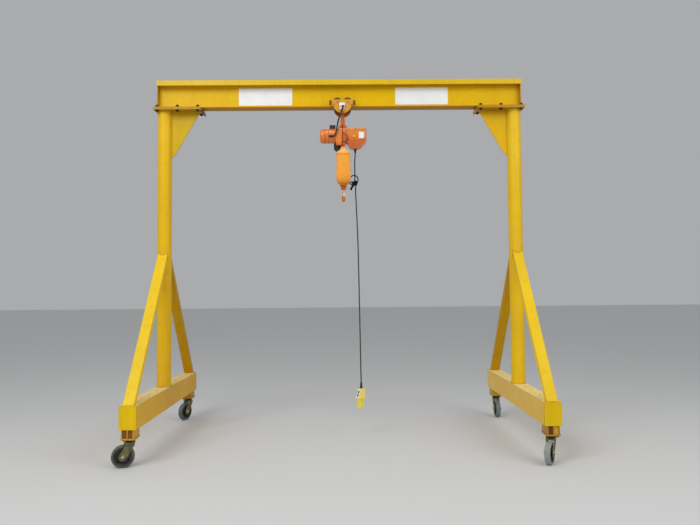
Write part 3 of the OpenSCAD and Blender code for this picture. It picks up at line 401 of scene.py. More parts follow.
def painted_steel(shade, paint, second, bare, dust, chips, dusting, runs):
    """Enamel with tone drift, chipped arrises, scratches, runs and settled dust."""
    colour = shade.mixed(shade.spread(shade.noise(1.6, 3), 0.32, 0.68), paint, second)
    colour = shade.tinted(colour, shade.spread(shade.noise(13, 6, 0.65), 0.3, 0.7, 0.95, 1.04))

    streak = shade.spread(shade.noise(1.0, 5, 0.6, (24, 24, 1.3)), 0.5, 0.78)
    colour = shade.mixed(shade.times(streak, runs), colour, shade.tinted(colour, (0.62, 0.55, 0.45, 1)))

    line = shade.away(shade.noise(1.0, 2, 0.4, (5, 46, 38)), 0.5)
    scratch = shade.times(shade.maths("LESS_THAN", line, 0.004),
                          shade.spread(shade.noise(3.1, 2), 0.56, 0.66))
    colour = shade.mixed(shade.times(scratch, 0.5), colour, dust)

    facing = shade.node("ShaderNodeNewGeometry", {}, "Normal")
    eased = shade.node("ShaderNodeBevel", {"Radius": 0.005}, "Normal")
    eased.node.samples = 4
    turn = shade.node("ShaderNodeVectorMath", {0: eased, 1: facing}, "Value", "DOT_PRODUCT")
    worn = shade.plus(shade.times(shade.spread(turn, 0.97, 0.8), 0.34), shade.noise(70, 5, 0.6))
    spot = shade.spread(shade.noise(31, 4, 0.7), 0.735, 0.75)
    chip = shade.times(shade.maths("MAXIMUM", shade.spread(worn, 0.80, 0.84), spot), chips)
    colour = shade.mixed(chip, colour, bare)

    upward = shade.spread(shade.part(facing, "z"), 0.3, 0.95)
    settled = shade.spread(shade.noise(8, 6, 0.62), 0.3, 0.66, 0.45, 1)
    film = shade.times(shade.plus(shade.times(upward, 0.96), 0.03), settled, dusting)
    colour = shade.mixed(film, colour, dust)

    rough = shade.plus(shade.spread(shade.noise(21), 0.3, 0.7, 0.30, 0.44),
                       shade.times(film, 0.45), shade.times(chip, 0.2))
    height = shade.maths("SUBTRACT", shade.times(shade.noise(190, 2), 0.16), chip)
    return colour, rough, shade.maths("SUBTRACT", height, shade.times(scratch, 0.4))


steel_group = group("painted_steel", painted_steel, ("Paint", "Second", "Bare", "Dust"),
                    ("Chips", "Dusting", "Runs"))


def enamel(name, paint, second, chips=0.6, dusting=0.35, runs=0.35, bare=(66, 46, 32),
           dust=(205, 188, 158), coat=0.0, shine=0.22):
    """A painted steel of its own colours and amount of wear."""
    return grouped(name, steel_group, (paint, second, bare, dust), (chips, dusting, runs), 0.35, 0.0006,
                   {"Specular IOR Level": shine, "Coat Weight": coat, "Coat Roughness": 0.18})


def dress(paint, *names, arris=0.0):
    """Gives CAD nodes a material, and where asked a fine rounding of their sharp arrises."""
    for name in names:
        target = nodes[name]
        target.data.materials.clear()
        target.data.materials.append(paint)
        if arris:
            ease = target.modifiers.new("arris", "BEVEL")
            ease.width = arris
            ease.segments = 2
            ease.limit_method = "ANGLE"
            ease.angle_limit = math.radians(40)
            ease.harden_normals = True


def zoned(paint, colour, amount, soft=0.001, cover=False, **limits):
    """Tints or covers a paint with a colour inside a range of the object's own x, y or z."""
    shade = Shading(paint.node_tree)
    mask = amount
    for axis, (low, high) in limits.items():
        value = shade.part(shade.at(), axis)
        above, below = shade.spread(value, low, low + soft), shade.spread(value, high, high - soft)
        mask = shade.times(mask, above, below)
    shade.recolour(mask, screen(*colour), "MIX" if cover else "MULTIPLY")
    return paint


column_x, column_r = 1.785, 0.070
base_top, base_low, plate_low, beam_low, beam_top = 0.524, 0.3235, 3.306, 3.334, 3.604

# The bottom flange is painted duller and darker than the web, as painted shade
beam_paint = enamel("beam_enamel", (234, 190, 4), (226, 182, 2), 0.35, 0.1, 0.12, shine=0.12)
dress(zoned(beam_paint, (204, 180, 112), 1.0, z=(3.3, beam_low + 0.0152)), "main_beam")
dress(enamel("cap_enamel", (228, 190, 22), (220, 180, 14), 0.5, 0.3, 0.3), "beam_cap_channel")
dress(enamel("plate_enamel", (190, 146, 16), (178, 132, 10), 0.7, 0.18, 0.3),
      "seat_plates", "leg_top_plates", "beam_end_plates", arris=0.0015)
# The left gusset is tinted a little colder than the right one, as painted light
gusset_paint = enamel("gusset_enamel", (230, 184, 14), (222, 174, 8), 0.6, 0.12, 0.1, shine=0.14)
dress(zoned(gusset_paint, (236, 246, 255), 1.0, x=(-3.0, 0.0)), "knee_gussets", arris=0.0012)
dress(enamel("column_enamel", (240, 193, 18), (232, 182, 12), 0.5, 0.2, 0.2), "column_left")
dress(enamel("column_right_enamel", (241, 198, 24), (234, 188, 16), 0.5, 0.2, 0.2), "column_right")
# The struts behind the columns are painted duller and darker, as painted shade
strut_paint = enamel("strut_enamel", (252, 212, 8), (242, 200, 4), 0.6, 0.1, 0.3, shine=0.16)
dress(zoned(strut_paint, (208, 190, 150), 1.0, soft=0.05, y=(0.02, 2.0)), "struts_left", "struts_right")
# The heavy pale dust on both base beams' tops is partly dust and partly a painted highlight
# The right base beam is painted paler and lighter than the left one, as painted light
dress(enamel("base_enamel", (234, 181, 20), (220, 165, 14), 0.6, 0.72, 0.1,
             dust=(255, 244, 186), shine=0.12), "base_beam_left")
dress(enamel("base_right_lit_enamel", (246, 202, 78), (234, 186, 62), 0.6, 0.72, 0.1,
             dust=(255, 242, 182)), "base_beam_right")
dress(enamel("end_cap_enamel", (242, 202, 2), (234, 192, 2), 0.6, 0.12, 0.3, shine=0.18),
      "base_end_caps", arris=0.0015)
dress(enamel("stub_enamel", (208, 166, 36), (176, 132, 28), 0.8, 0.35, 0.4),
      "caster_stubs", arris=0.0012)
# The right end stops have kept their yellow paint
stop_paint = enamel("stop_enamel", (70, 44, 34), (92, 60, 44), 0.8, 0.5, 0.3, bare=(120, 90, 75))
dress(zoned(stop_paint, (188, 138, 50), 0.85, cover=True, x=(0.0, 2.0)), "end_stops", arris=0.001)

# Stub plates: a thin plate closes each cell of a stub, a little way in. They are dark red-brown,
# and the right cells of the right stubs are yellow.
cell_mesh = bmesh.new()
cell_near, cell_far, cell_low, cell_high = 0.0038, 0.0442, 0.2478, 0.3202
stub_end, cell_back, cell_thick = 1.025, 0.014, 0.003
cell_corners = ((cell_near, cell_low), (cell_far, cell_low), (cell_far, cell_high), (cell_near, cell_high))
for side, end, half in product((-1, 1), repeat=3):
    skin(cell_mesh, [
        [(column_x * side + half * x, end * (stub_end - cell_back - deep), z) for x, z in cell_corners]
        for deep in (0, cell_thick)])
cell_paint = enamel("cell_enamel", (150, 84, 34), (122, 62, 24), 0.7, 0.2, 0.3)
piece("stub_cell_plates", cell_mesh,
      zoned(cell_paint, (226, 178, 50), 1.0, cover=True, x=(column_x + 0.002, 1.9)),
      "gantry", 30)

# Weld beads
# The plates, caps, gussets, columns and struts are hand welded, so a rippled bead runs round each
# joint under the same paint. The capping channel is stitched to the top flange.
weld_mesh = bmesh.new()
ripple = random.Random(11)


def bead(radius, *corners):
    """A weld bead along corners: a low tube whose radius ripples like a row of coins."""
    line = resampled([Vector(c) for c in corners], 0.0034)
    radii = [radius * (1.0 + (0.13 if k % 2 else -0.1) + ripple.uniform(-0.06, 0.06))
             for k in range(len(line))]
    radii[0] = radii[-1] = radius * 0.45
    tube(weld_mesh, line, radii, 6)


def arc(x, z, start, end, steps):
    """Points of a level arc close round a column, angles in degrees."""
    return [(x + (column_r + 0.001) * math.cos(a), (column_r + 0.001) * math.sin(a), z)
            for a in (math.radians(start + (end - start) * k / steps) for k in range(steps + 1))]


strut_half, strut_foot, strut_deep = 0.047, 1.010, 0.050
strut_angle = math.radians(54.464)
strut_slope = math.tan(strut_angle)
strut_drop = strut_deep / math.cos(strut_angle)
strut_foot_inner = strut_foot - strut_deep / math.sin(strut_angle)
gusset_face, gusset_high, gusset_wide = 0.0065, 0.46, 0.275
flange_edge, channel_edge, web_face, beam_end = 0.0615, 0.0625, 0.0045, 1.8425
cap_half, cap_seam, cap_low, cap_high, stub_half = 0.0725, 1.0165, 0.33, 0.5235, 0.0525
# Rows of stitches: the first one's place, the pitch, and the length of each
flange_row, channel_row, base_row = (1.44, 0.145, 0.07), (-1.78, 0.318, 0.05), (-0.92, 0.218, 0.06)


def stitch(row, k):
    """The two ends of one stitch of a row."""
    first, pitch, long = row
    return first + k * pitch, first + k * pitch + long


def on_strut(x, across, end, drop):
    """The point where a strut's upper or lower face meets the round column."""
    reach = math.sqrt(column_r ** 2 - across ** 2)
    return (x + across, end * reach, base_top + (strut_foot - reach) * strut_slope - drop)


for side in (-1, 1):
    x, root = side * column_x, side * (column_x - column_r)
    bead(0.005, *arc(x, base_top + 0.001, 0, 360, 48))
    gap = 0 if side < 0 else 180
    bead(0.0045, *arc(x, plate_low - 0.001, gap + 96, gap + 264, 24))
    for face in (-1, 1):
        y = face * gusset_face
        bead(0.004, (root, y, plate_low - gusset_high), (root, y, plate_low - 0.004))
        bead(0.004, (root, y, plate_low - 0.001), (root - side * gusset_wide, y, plate_low - 0.001))
        for k in range(3):
            bead(0.0035, *((side * reach, face * flange_edge, beam_low + 0.001)
                           for reach in stitch(flange_row, k)))
        bead(0.003, *((side * beam_end, face * web_face, z) for z in (beam_low + 0.03, beam_top - 0.03)))
    for end in (-1, 1):
        for drop in (0, strut_drop):
            bead(0.004, *(on_strut(x, strut_half * (k / 6 - 1), -end, drop) for k in range(13)))
        for across in (-strut_half, strut_half):
            bead(0.0035, on_strut(x, across, -end, 0), on_strut(x, across, -end, strut_drop))
        bead(0.004, *((x + across, end * y, base_top) for across, y in (
            (-strut_half, strut_foot), (strut_half, strut_foot), (strut_half, strut_foot_inner),
            (-strut_half, strut_foot_inner), (-strut_half, strut_foot))))
        bead(0.0022, *((x + across, end * cap_seam, z) for across, z in (
            (-cap_half, cap_low), (-cap_half, cap_high), (cap_half, cap_high), (cap_half, cap_low))))
        for across in (-stub_half, stub_half):
            bead(0.0035, *((x + across, end * y, base_low) for y in (0.88, 1.02)))
    # Stitches join the two channels of the base beam, clear of the column and the ends
    for k in (1, 2, 3, 5, 6, 7, 8):
        for z in (base_top, base_low):
            bead(0.0026, *((x, y, z) for y in stitch(base_row, k)))
for k in range(12):
    for face in (-1, 1):
        bead(0.0035, *((x, face * channel_edge, beam_top - 0.002) for x in stitch(channel_row, k)))
piece("weld_beads", weld_mesh, enamel("weld_enamel", (216, 172, 26), (186, 140, 22), 0.8, 0.3, 0.3),
      "gantry", 80)

# Joint bolts
# Six M20 bolts through each pair of joint plates, with washers, chamfered hexagon heads and nuts,
# and a few threads showing. They are black bolts, oiled and rusting.


def worn_metal(shade, bright, grime, rust, grimy, rusty, polish):
    """Bare or plated metal with grime in patches, fine grain and light rust."""
    grain = shade.noise(120, 5, 0.6)
    colour = shade.tinted(bright, shade.spread(grain, 0.3, 0.7, 0.86, 1.08))
    grimed = shade.times(shade.spread(shade.noise(26, 5, 0.6), 0.42, 0.64), grimy)
    colour = shade.mixed(grimed, colour, grime)
    rusted = shade.times(shade.spread(shade.noise(48, 6, 0.68), 0.52, 0.66), rusty)
    colour = shade.mixed(rusted, colour, rust)
    rough = shade.plus(polish, shade.times(grimed, 0.3), shade.times(rusted, 0.4), shade.times(grain, 0.12))
    return colour, rough, shade.plus(shade.times(grain, 0.3), rusted)


metal_group = group("worn_metal", worn_metal, ("Metal", "Grime", "Rust"), ("Grimy", "Rusty", "Polish"))


def metal(name, colour, grime, grimy=0.4, rusty=0.2, polish=0.35, metallic=0.8, rust=(110, 62, 32)):
    """A worn metal of its own colours and amount of wear."""
    return grouped(name, metal_group, (colour, grime, rust), (grimy, rusty, polish), 0.4, 0.0004,
                   {"Metallic": metallic})


def hexagon(mesh, place, axis, across, height, phase=0.0):
    """A chamfered hexagon nut or bolt head."""
    corner = across / math.sqrt(3)
    lathe(mesh, place, axis, [
        (0, 0), (corner * 0.95, 0), (corner, height * 0.12), (corner, height * 0.8),
        (corner * 0.9, height), (0, height)], 6, phase)


def washer(mesh, place, axis, outer, thick):
    """A washer with eased rims."""
    ease = thick * 0.25
    lathe(mesh, place, axis, [(0, 0), (outer - ease, 0), (outer, ease), (outer, thick - ease),
                              (outer - ease, thick), (0, thick)], 28)


def threads(mesh, place, axis, radius, pitch, turns):
    """The end of a bolt: thread crests and a chamfered tip."""
    tip = (turns + 0.3) * pitch
    crests = [pair for k in range(turns)
              for pair in ((radius * 0.9, k * pitch), (radius, (k + 0.5) * pitch))]
    lathe(mesh, place, axis, [
        (0, 0), *crests, (radius * 0.9, turns * pitch), (radius * 0.78, tip), (0, tip)], 20)


wrench = random.Random(5)
bolt_mesh = bmesh.new()
joint_x, bolt_pitch, bolt_row = 1.6375, 0.205, 0.082
washer_r, washer_thick, shank_r, shank_long = 0.0185, 0.003, 0.0098, 0.028
nut_across, nut_high, head_high = 0.030, 0.0165, 0.0105
for side, k, row in product((-1, 1), (-1, 0, 1), (-1, 1)):
    x, y = side * joint_x + k * bolt_pitch, row * bolt_row
    above, below = Vector((x, y, beam_low)), Vector((x, y, plate_low))
    washer(bolt_mesh, above, UP, washer_r, washer_thick)
    hexagon(bolt_mesh, above + UP * washer_thick, UP, nut_across, nut_high, wrench.uniform(0, 1))
    threads(bolt_mesh, above + UP * (nut_high + 0.002), UP, 0.0099, 0.0022, 3)
    washer(bolt_mesh, below, -UP, washer_r, washer_thick)
    hexagon(bolt_mesh, below - UP * 0.0025, -UP, nut_across, head_high, wrench.uniform(0, 1))
    lathe(bolt_mesh, below, UP, [(0, 0), (shank_r, 0), (shank_r, shank_long), (0, shank_long)], 20)
black_bolt = metal("black_bolt", (62, 50, 40), (30, 22, 18), 0.6, 0.5, 0.42, 0.55)
bolts = piece("joint_fasteners", bolt_mesh, black_bolt, "gantry", 28)
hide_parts("joint_bolts")

# White panels on the beam
# Two thin white sheets are stuck on the web, one in each half. They are left bare: the film has
# smudges and edges that lift a little.
panel_paint, shade = material("white_film")
panel_tone = shade.mixed(shade.spread(shade.noise(9, 6, 0.62), 0.45, 0.72, 0, 0.5),
                         screen(240, 243, 244), screen(224, 224, 214))
panel_speck = shade.spread(shade.noise(95, 3, 0.7), 0.68, 0.72, 0, 0.4)
shade.surface({"Base Color": shade.mixed(panel_speck, panel_tone, screen(150, 132, 92)),
               "Roughness": shade.spread(shade.noise(5), 0.3, 0.7, 0.28, 0.46)})
shade.bump(shade.noise(34, 2), 0.3, 0.0006)


def film(name, body, left, right, low, high, front, corner, curl, seed):
    """A thin white sheet that faces forward, with rounded corners and a slightly lifted rim."""
    shape = random.Random(seed)
    mesh = bmesh.new()
    across, tall = 28, 10
    layers = {}
    for i, j in product(range(across + 1), range(tall + 1)):
        u, v = i / across, j / tall
        x, z = left + (right - left) * u, low + (high - low) * v
        dx = max(left + corner - x, x - (right - corner), 0)
        dz = max(low + corner - z, z - (high - corner), 0)
        far = math.hypot(dx, dz)
        if dx and dz and far > corner:
            x += (dx - dx * corner / far) * (1 if x < (left + right) / 2 else -1)
            z += (dz - dz * corner / far) * (1 if z < (low + high) / 2 else -1)
        rim = min(u, 1 - u, v, 1 - v)
        raised = curl * max(0, 1 - rim * 9) * shape.uniform(0.1, 1.0)
        layers[i, j] = [mesh.verts.new((x, y, z)) for y in (front - 0.0005 - raised, front)]
    for i, j in product(range(across), range(tall)):
        cell = [layers[place] for place in ((i, j), (i + 1, j), (i + 1, j + 1), (i, j + 1))]
        mesh.faces.new([outer for outer, _ in cell])
        mesh.faces.new([inner for _, inner in reversed(cell)])
    rim_walk = ([(i, 0) for i in range(across)] + [(across, j) for j in range(tall)]
                + [(i, tall) for i in range(across, 0, -1)] + [(0, j) for j in range(tall, 0, -1)])
    for a, b in zip(rim_walk, rim_walk[1:] + rim_walk[:1]):
        mesh.faces.new((*layers[a], *reversed(layers[b])))
    return piece(name, mesh, panel_paint, body, 60)


web_front = -0.00425
film("beam_panel_left", "gantry", -1.030, -0.484, 3.370, 3.548, web_front, 0.006, 0.0012, 3)
film("beam_panel_right", "gantry", 0.572, 1.112, 3.372, 3.550, web_front, 0.006, 0.0012, 4)

# Casters
# Each caster is pressed steel with an olive passivated finish: a plate held by four small bolts,
# a ball race with a seal ring, a kingpin and a fork. The wheel is a black casting with a moulded
# rubber tyre, and the axle is a bright bolt with a nut.
olive = metal("olive_steel", (126, 122, 84), (58, 54, 38), 0.55, 0.25, 0.38, 0.35, rust=(128, 84, 48))
dress(metal("swivel_steel", (84, 80, 60), (34, 30, 24), 0.7, 0.35, 0.42, 0.4),
      "caster_plates", arris=0.0008)
bright_bolt = metal("bright_bolt", (206, 198, 176), (110, 98, 78), 0.35, 0.15, 0.3, 0.75)


def moulding(shade, base, scuff, dust, scuffed, dusting, matt):
    """Rubber or plastic with a matt grain, scuffs, and dust where it faces up."""
    colour = shade.tinted(base, shade.spread(shade.noise(17), 0.3, 0.7, 0.88, 1.1))
    scuffs = shade.times(shade.spread(shade.noise(62, 6, 0.7), 0.52, 0.68), scuffed)
    colour = shade.mixed(scuffs, colour, scuff)
    facing = shade.node("ShaderNodeNewGeometry", {}, "Normal")
    upward = shade.spread(shade.part(facing, "z"), -0.1, 0.9, 0.25, 1)
    film = shade.times(upward, shade.spread(shade.noise(24, 5, 0.6), 0.35, 0.65), dusting)
    colour = shade.mixed(film, colour, dust)
    rough = shade.plus(matt, shade.times(film, 0.3), shade.times(scuffs, 0.15))
    return colour, rough, shade.plus(shade.noise(420, 3, 0.6), scuffs)


moulding_group = group("moulding", moulding, ("Base", "Scuff", "Dust"), ("Scuffed", "Dusting", "Matt"))


def moulded(name, base, scuff, dust=(170, 165, 150), scuffed=0.3, dusting=0.3, matt=0.5, relief=0.0003):
    """A rubber or plastic of its own colours and amount of wear."""
    return grouped(name, moulding_group, (base, scuff, dust), (scuffed, dusting, matt), 0.3, relief, {})


core_black = moulded("black_core", (26, 25, 24), (70, 64, 56), scuffed=0.4, dusting=0.35, matt=0.45)
casters = {
    # name: heading in degrees, and the tyre's tone, which carries painted light and shade
    "front_left": (197, (74, 86, 72)), "front_right": (238, (138, 150, 146)),
    "rear_left": (246, (86, 94, 92)), "rear_right": (268, (104, 116, 116)),
}
caster_y, caster_trail, fork_half = 0.95, 0.057, 0.034
tyre_r, tyre_half, seal_r, seal_z, rib_half = 0.095, 0.024, 0.041, 0.2135, 0.012
# The crown is pressed on over the tyre in a rounded lip, and down behind it in a skirt. Each has
# its half width, and a profile of reach from the kingpin and height.
crown_forms = (
    (0.0335, ((0.034, 0.1966), (0.047, 0.1966), (0.0505, 0.1990), (0.0500, 0.2050), (0.0460, 0.2090),
              (0.0400, 0.2098), (0.034, 0.2098))),
    (0.0293, ((-0.0320, 0.1970), (-0.0322, 0.1790), (-0.0335, 0.1770), (-0.0350, 0.1785),
              (-0.0355, 0.1970))),
)


def turned(degrees):
    """The two level directions of a piece that is turned: ahead, and to its left."""
    c, s = math.cos(math.radians(degrees)), math.sin(math.radians(degrees))
    return Vector((c, s, 0)), Vector((-s, c, 0))


for corner, (heading, tone) in casters.items():
    side, end = (1 if "right" in corner else -1), (1 if "rear" in corner else -1)
    out, axle = turned(heading)
    swivel = Vector((side * column_x, end * caster_y, 0))
    hub = swivel + out * caster_trail + UP * tyre_r

    # The tyre's inner band is black, as the wheel's rim is painted over its edge
    pale = tuple(min(255, round(v * 1.25)) for v in tone)
    rubber = moulded("tyre_rubber_" + corner, tone, pale, (176, 172, 156), 0.5, 0.35, 0.62, 0.0005)
    shade = Shading(rubber.node_tree)
    from_hub = shade.node("ShaderNodeVectorMath", {0: shade.at(), 1: hub}, "Value", "DISTANCE")
    shade.recolour(shade.times(shade.spread(from_hub, 0.0825, 0.0800), 0.85), screen(34, 34, 30))
    dress(rubber, "caster_tyre_" + corner)
    dress(core_black, "caster_wheel_" + corner)
    dress(olive, "caster_fork_" + corner, arris=0.0012)

    # Fine raised rings, moulded in the tread and in both side walls
    tread_mesh = bmesh.new()
    for face, (offset, radius, steps, thick) in product((-1, 1), (
        (0.008, tyre_r - 0.0009, 96, 0.0008),
        (tyre_half + 0.0001, 0.0740, 80, 0.0011),
        (tyre_half + 0.0001, 0.0815, 80, 0.0011),
    )):
        hoop(tread_mesh, hub + axle * face * offset, out * radius, UP * radius, steps, thick, 5)
    piece("tyre_rings_" + corner, tread_mesh, rubber, "caster_roller_" + corner, 60)

    # Axle ends, the race's seal ring and the fork's pressed ribs
    axle_mesh = bmesh.new()
    pressing_mesh = bmesh.new()
    rib_lean = out * (caster_trail * 0.62)
    hoop(pressing_mesh, swivel + UP * seal_z, RIGHT * seal_r, BACK * seal_r, 48, 0.0026, 8)
    for face in (-1, 1):
        outward = axle * face
        start = hub + outward * fork_half
        washer(axle_mesh, start, outward, 0.0165, 0.0022)
        hexagon(axle_mesh, start + outward * 0.0022, outward, 0.0255, 0.0085, 0.4)
        threads(axle_mesh, start + outward * 0.0107, outward, 0.0078, 0.0016, 2)
        for along in (-rib_half, rib_half):
            foot = swivel + outward * (fork_half + 0.0002) + out * along
            rib = [foot + rib_lean * share + UP * z
                   for share, z in ((0, 0.196), (0.35, 0.170), (1, 0.132))]
            tube(pressing_mesh, resampled(rib, 0.006), 0.0022, 8)
    piece("caster_axle_ends_" + corner, axle_mesh, bright_bolt, "caster_" + corner, 28)
    for half_width, profile in crown_forms:
        skin(pressing_mesh, [[swivel + out * reach + axle * across + UP * z for reach, z in profile]
                             for across in (-half_width, half_width)])
    piece("caster_pressings_" + corner, pressing_mesh, olive, "caster_" + corner, 60)

plate_bolt_mesh = bmesh.new()
plate_bolt_x, plate_bolt_y, plate_bolt_nut = 0.038, 0.046, 0.016
under_plate, over_plate, over_washer, nut_top = 0.232, 0.252, 0.2536, 0.2614
for side, end, left, front in product((-1, 1), repeat=4):
    middle = Vector((side * column_x + left * plate_bolt_x, end * caster_y + front * plate_bolt_y, 0))
    hexagon(plate_bolt_mesh, middle + UP * under_plate, -UP, plate_bolt_nut, 0.0062, wrench.uniform(0, 1))
    washer(plate_bolt_mesh, middle + UP * over_plate, UP, 0.0105, over_washer - over_plate)
    hexagon(plate_bolt_mesh, middle + UP * over_washer, UP, plate_bolt_nut, 0.008, wrench.uniform(0, 1))
    threads(plate_bolt_mesh, middle + UP * nut_top, UP, 0.0048, 0.0015, 3)
piece("caster_plate_bolts", plate_bolt_mesh, black_bolt, "gantry", 28)

# Trolley
# Two rounded side plates carry four flanged wheels on the bottom flange, and a load bolt hangs
# the hoist between them. The plates are orange enamel, the wheels turned steel, and the bumpers
# bent from flat bar; the rear plate, the wheels and the bumpers are painted darker, as painted
# shade. A bare white label sits at the load bolt, and white paint marks the place of the cable's
# clip above it.
trolley_paint = zoned(enamel("trolley_enamel", (220, 165, 58), (212, 148, 46), 0.6, 0.2, 0.4),
                      (236, 232, 222), 1.0, cover=True, x=(0.018, 0.048), y=(-0.13, -0.0882),
                      z=(3.332, 3.362))
dress(trolley_paint, "trolley_plate_front", arris=0.0012)
# The rear plate is painted darker than the front one, as painted shade
dress(enamel("trolley_rear_shaded_enamel", (206, 112, 36), (190, 96, 30), 0.6, 0.3, 0.4),
      "trolley_plate_rear", arris=0.0012)
# The bumpers are painted dark brown, as painted shade
dress(enamel("bumper_shaded_enamel", (124, 72, 12), (110, 60, 8), 0.5, 0.05, 0.3, bare=(80, 50, 30)),
      "trolley_bumpers", arris=0.001)
# The wheels are painted dark brown, as painted shade
dress(metal("tread_steel_shaded", (112, 78, 26), (66, 42, 14), 0.5, 0.4, 0.42, 0.25),
      *("trolley_wheel_" + corner for corner in casters))
dress(zoned(metal("load_bolt_steel", (176, 124, 70), (90, 56, 30), 0.5, 0.3, 0.36, 0.3),
            (234, 164, 54), 0.95, cover=True, y=(-0.2, -0.080)), "trolley_load_bolt", arris=0.0008)

trolley_x, trolley_axle_z, load_bolt_z, wheel_reach = 0.030, 3.3880, 3.295, 0.053
axle_face, screw_face, washer_face, bolt_face = 0.0921, 0.0861, 0.0862, 0.1012
fastener_mesh = bmesh.new()
plate_screw_mesh = bmesh.new()
for face in (-1, 1):
    axis = BACK * face
    for side in (-1, 1):
        place = (trolley_x + side * wheel_reach, face * axle_face, trolley_axle_z)
        lathe(fastener_mesh, place, axis, [(0, 0), (0.0086, 0), (0.0086, 0.0012), (0.0062, 0.0024),
                                           (0.0034, 0.0024), (0.0034, 0.0006), (0, 0.0006)])
        for k in range(2):
            spot = Vector((trolley_x + side * (0.084 - 0.062 * k), face * screw_face,
                           trolley_axle_z - 0.030 - 0.028 * k))
            washer(plate_screw_mesh, spot, axis, 0.008, 0.0014)
            hexagon(plate_screw_mesh, spot + axis * 0.0014, axis, 0.0115, 0.005, wrench.uniform(0, 1))
    washer(fastener_mesh, (trolley_x, face * washer_face, load_bolt_z), axis, 0.0275, 0.0022)
    threads(fastener_mesh, (trolley_x, face * bolt_face, load_bolt_z), axis, 0.0112, 0.0024, 2)
piece("trolley_fasteners", fastener_mesh,
      metal("trolley_bolt", (222, 154, 56), (160, 96, 34), 0.5, 0.3, metallic=0.3),
      "trolley", 28)

# Rubber buffers fill the bent bumpers, in a dark brown that is painted shade
buffer_mesh = bmesh.new()
buffer_z, buffer_half, buffer_ease = trolley_axle_z - 0.013, 0.0150, 0.0015
buffer_near, buffer_far, buffer_inner, buffer_outer = 0.1095, 0.1242, 0.0785, 0.0915
for end, face in product((-1, 1), repeat=2):
    skin(buffer_mesh, [
        [(trolley_x + end * reach, face * y, buffer_z + z * (buffer_half - ease)) for y, z in (
            (buffer_inner, -1), (buffer_outer - ease, -1), (buffer_outer - ease, 1), (buffer_inner, 1))]
        for reach, ease in ((buffer_near, buffer_ease), (buffer_near + buffer_ease, 0),
                            (buffer_far - buffer_ease, 0), (buffer_far, buffer_ease))])
piece("trolley_buffers", buffer_mesh, moulded("buffer_rubber_shaded", (112, 64, 14), (130, 80, 26), dusting=0.1),
      "trolley", 30)
piece("trolley_plate_screws", plate_screw_mesh, trolley_paint, "trolley", 28)
film("trolley_label", "trolley", -0.002, 0.056, 3.302, 3.370, -0.089, 0.009, 0.0004, 8)

# Hoist
# An electric chain hoist in orange enamelled castings: the motor with its domed cap at the left,
# the gear case in the middle under the suspension lug, and the control box at the right. Screws
# hold the covers, and the label is left bare. A dark band down the gear case and the lug is partly
# the joint between the castings and partly painted shadow of the gap between the lug's ears.
casting = {"bare": (150, 76, 34), "coat": 1.0, "shine": 0.4}
# The dark band down the gear case's joint and the lug's gap is partly painted shadow
joint_and_gap_shadow = {"colour": (100, 30, 4), "amount": 0.95, "cover": True, "soft": 0.0004,
              "x": (0.0222, 0.0319), "z": (2.9, 3.157)}
hoist_paint = enamel("hoist_enamel", (242, 138, 14), (234, 116, 6), 0.4, 0.12, 0.25, **casting)
dress(hoist_paint, "hoist_motor", arris=0.001)
case_paint = hoist_paint.copy()
case_paint.name = "gear_case_enamel"
case_paint = zoned(case_paint, (206, 172, 84), 0.9, x=(0.031, 0.084), y=(-0.2, -0.0855), z=(2.96, 3.07))
dress(zoned(case_paint, **joint_and_gap_shadow), "hoist_gear_case", arris=0.001)
# The control box is painted darker and redder towards its bottom, as painted shade.
# The eye bolt on the box is zinc plated
box_paint = zoned(enamel("box_enamel", (230, 140, 8), (222, 122, 4), 0.4, 0.12, 0.25, **casting),
                  (244, 204, 90), 0.9, soft=0.07, z=(2.8, 3.06))
dress(zoned(box_paint, (216, 190, 140), 0.9, cover=True, z=(3.1175, 3.5)), "hoist_control_box",
      arris=0.001)
lug_paint = enamel("lug_enamel", (218, 122, 50), (196, 92, 30), 0.7, 0.2, 0.6, bare=(120, 70, 50))
dress(zoned(lug_paint, **joint_and_gap_shadow), "hoist_lug", arris=0.0012)
dress(moulded("inlet_plastic", (52, 24, 14), (70, 38, 24), scuffed=0.2, dusting=0.0), "hoist_inlet",
      arris=0.0015)
dress(moulded("guide_plastic", (12, 10, 11), (40, 34, 32), scuffed=0.2, dusting=0.05, matt=0.45),
      "chain_guide", arris=0.002)

hoist_front, motor_end, motor_z, motor_r, cover_z = -0.075, -0.190, 3.048, 0.0765, 3.015
screw_mesh = bmesh.new()


def cap_screw(mesh, place, axis, radius, height):
    """A socket screw: a low cylinder head with a sunk hexagon."""
    lathe(mesh, place, axis, [
        (0, 0), (radius, 0), (radius, height * 0.8), (radius * 0.88, height),
        (radius * 0.52, height), (radius * 0.5, height * 0.35), (0, height * 0.35)], 20)


motor_screws_r, cover_screws_r, cover_front = 0.052, 0.041, hoist_front - 0.012
for angle in (math.radians(30 + 60 * k) for k in range(6)):
    c, s = motor_screws_r * math.cos(angle), motor_screws_r * math.sin(angle)
    cap_screw(screw_mesh, (motor_end, c, motor_z + s), -RIGHT, 0.0048, 0.010)
for angle in (math.radians(-72 + 36 * k) for k in range(5)):
    c, s = cover_screws_r * math.cos(angle), cover_screws_r * math.sin(angle)
    cap_screw(screw_mesh, (trolley_x + c, cover_front, cover_z + s), -BACK, 0.0042, 0.004)
for x, z in ((0.082, 3.100), (0.166, 3.102), (0.248, 3.098), (0.082, 3.004), (0.252, 3.006),
             (-0.024, 3.096), (-0.024, 2.962), (0.014, 2.962)):
    for face in (-1, 1):
        cap_screw(screw_mesh, (x, -face * hoist_front, z), BACK * face, 0.0048, 0.0045)
piece("hoist_screws", screw_mesh, metal("screw_steel", (170, 120, 70), (96, 54, 24), 0.6, 0.3),
      "trolley", 30)
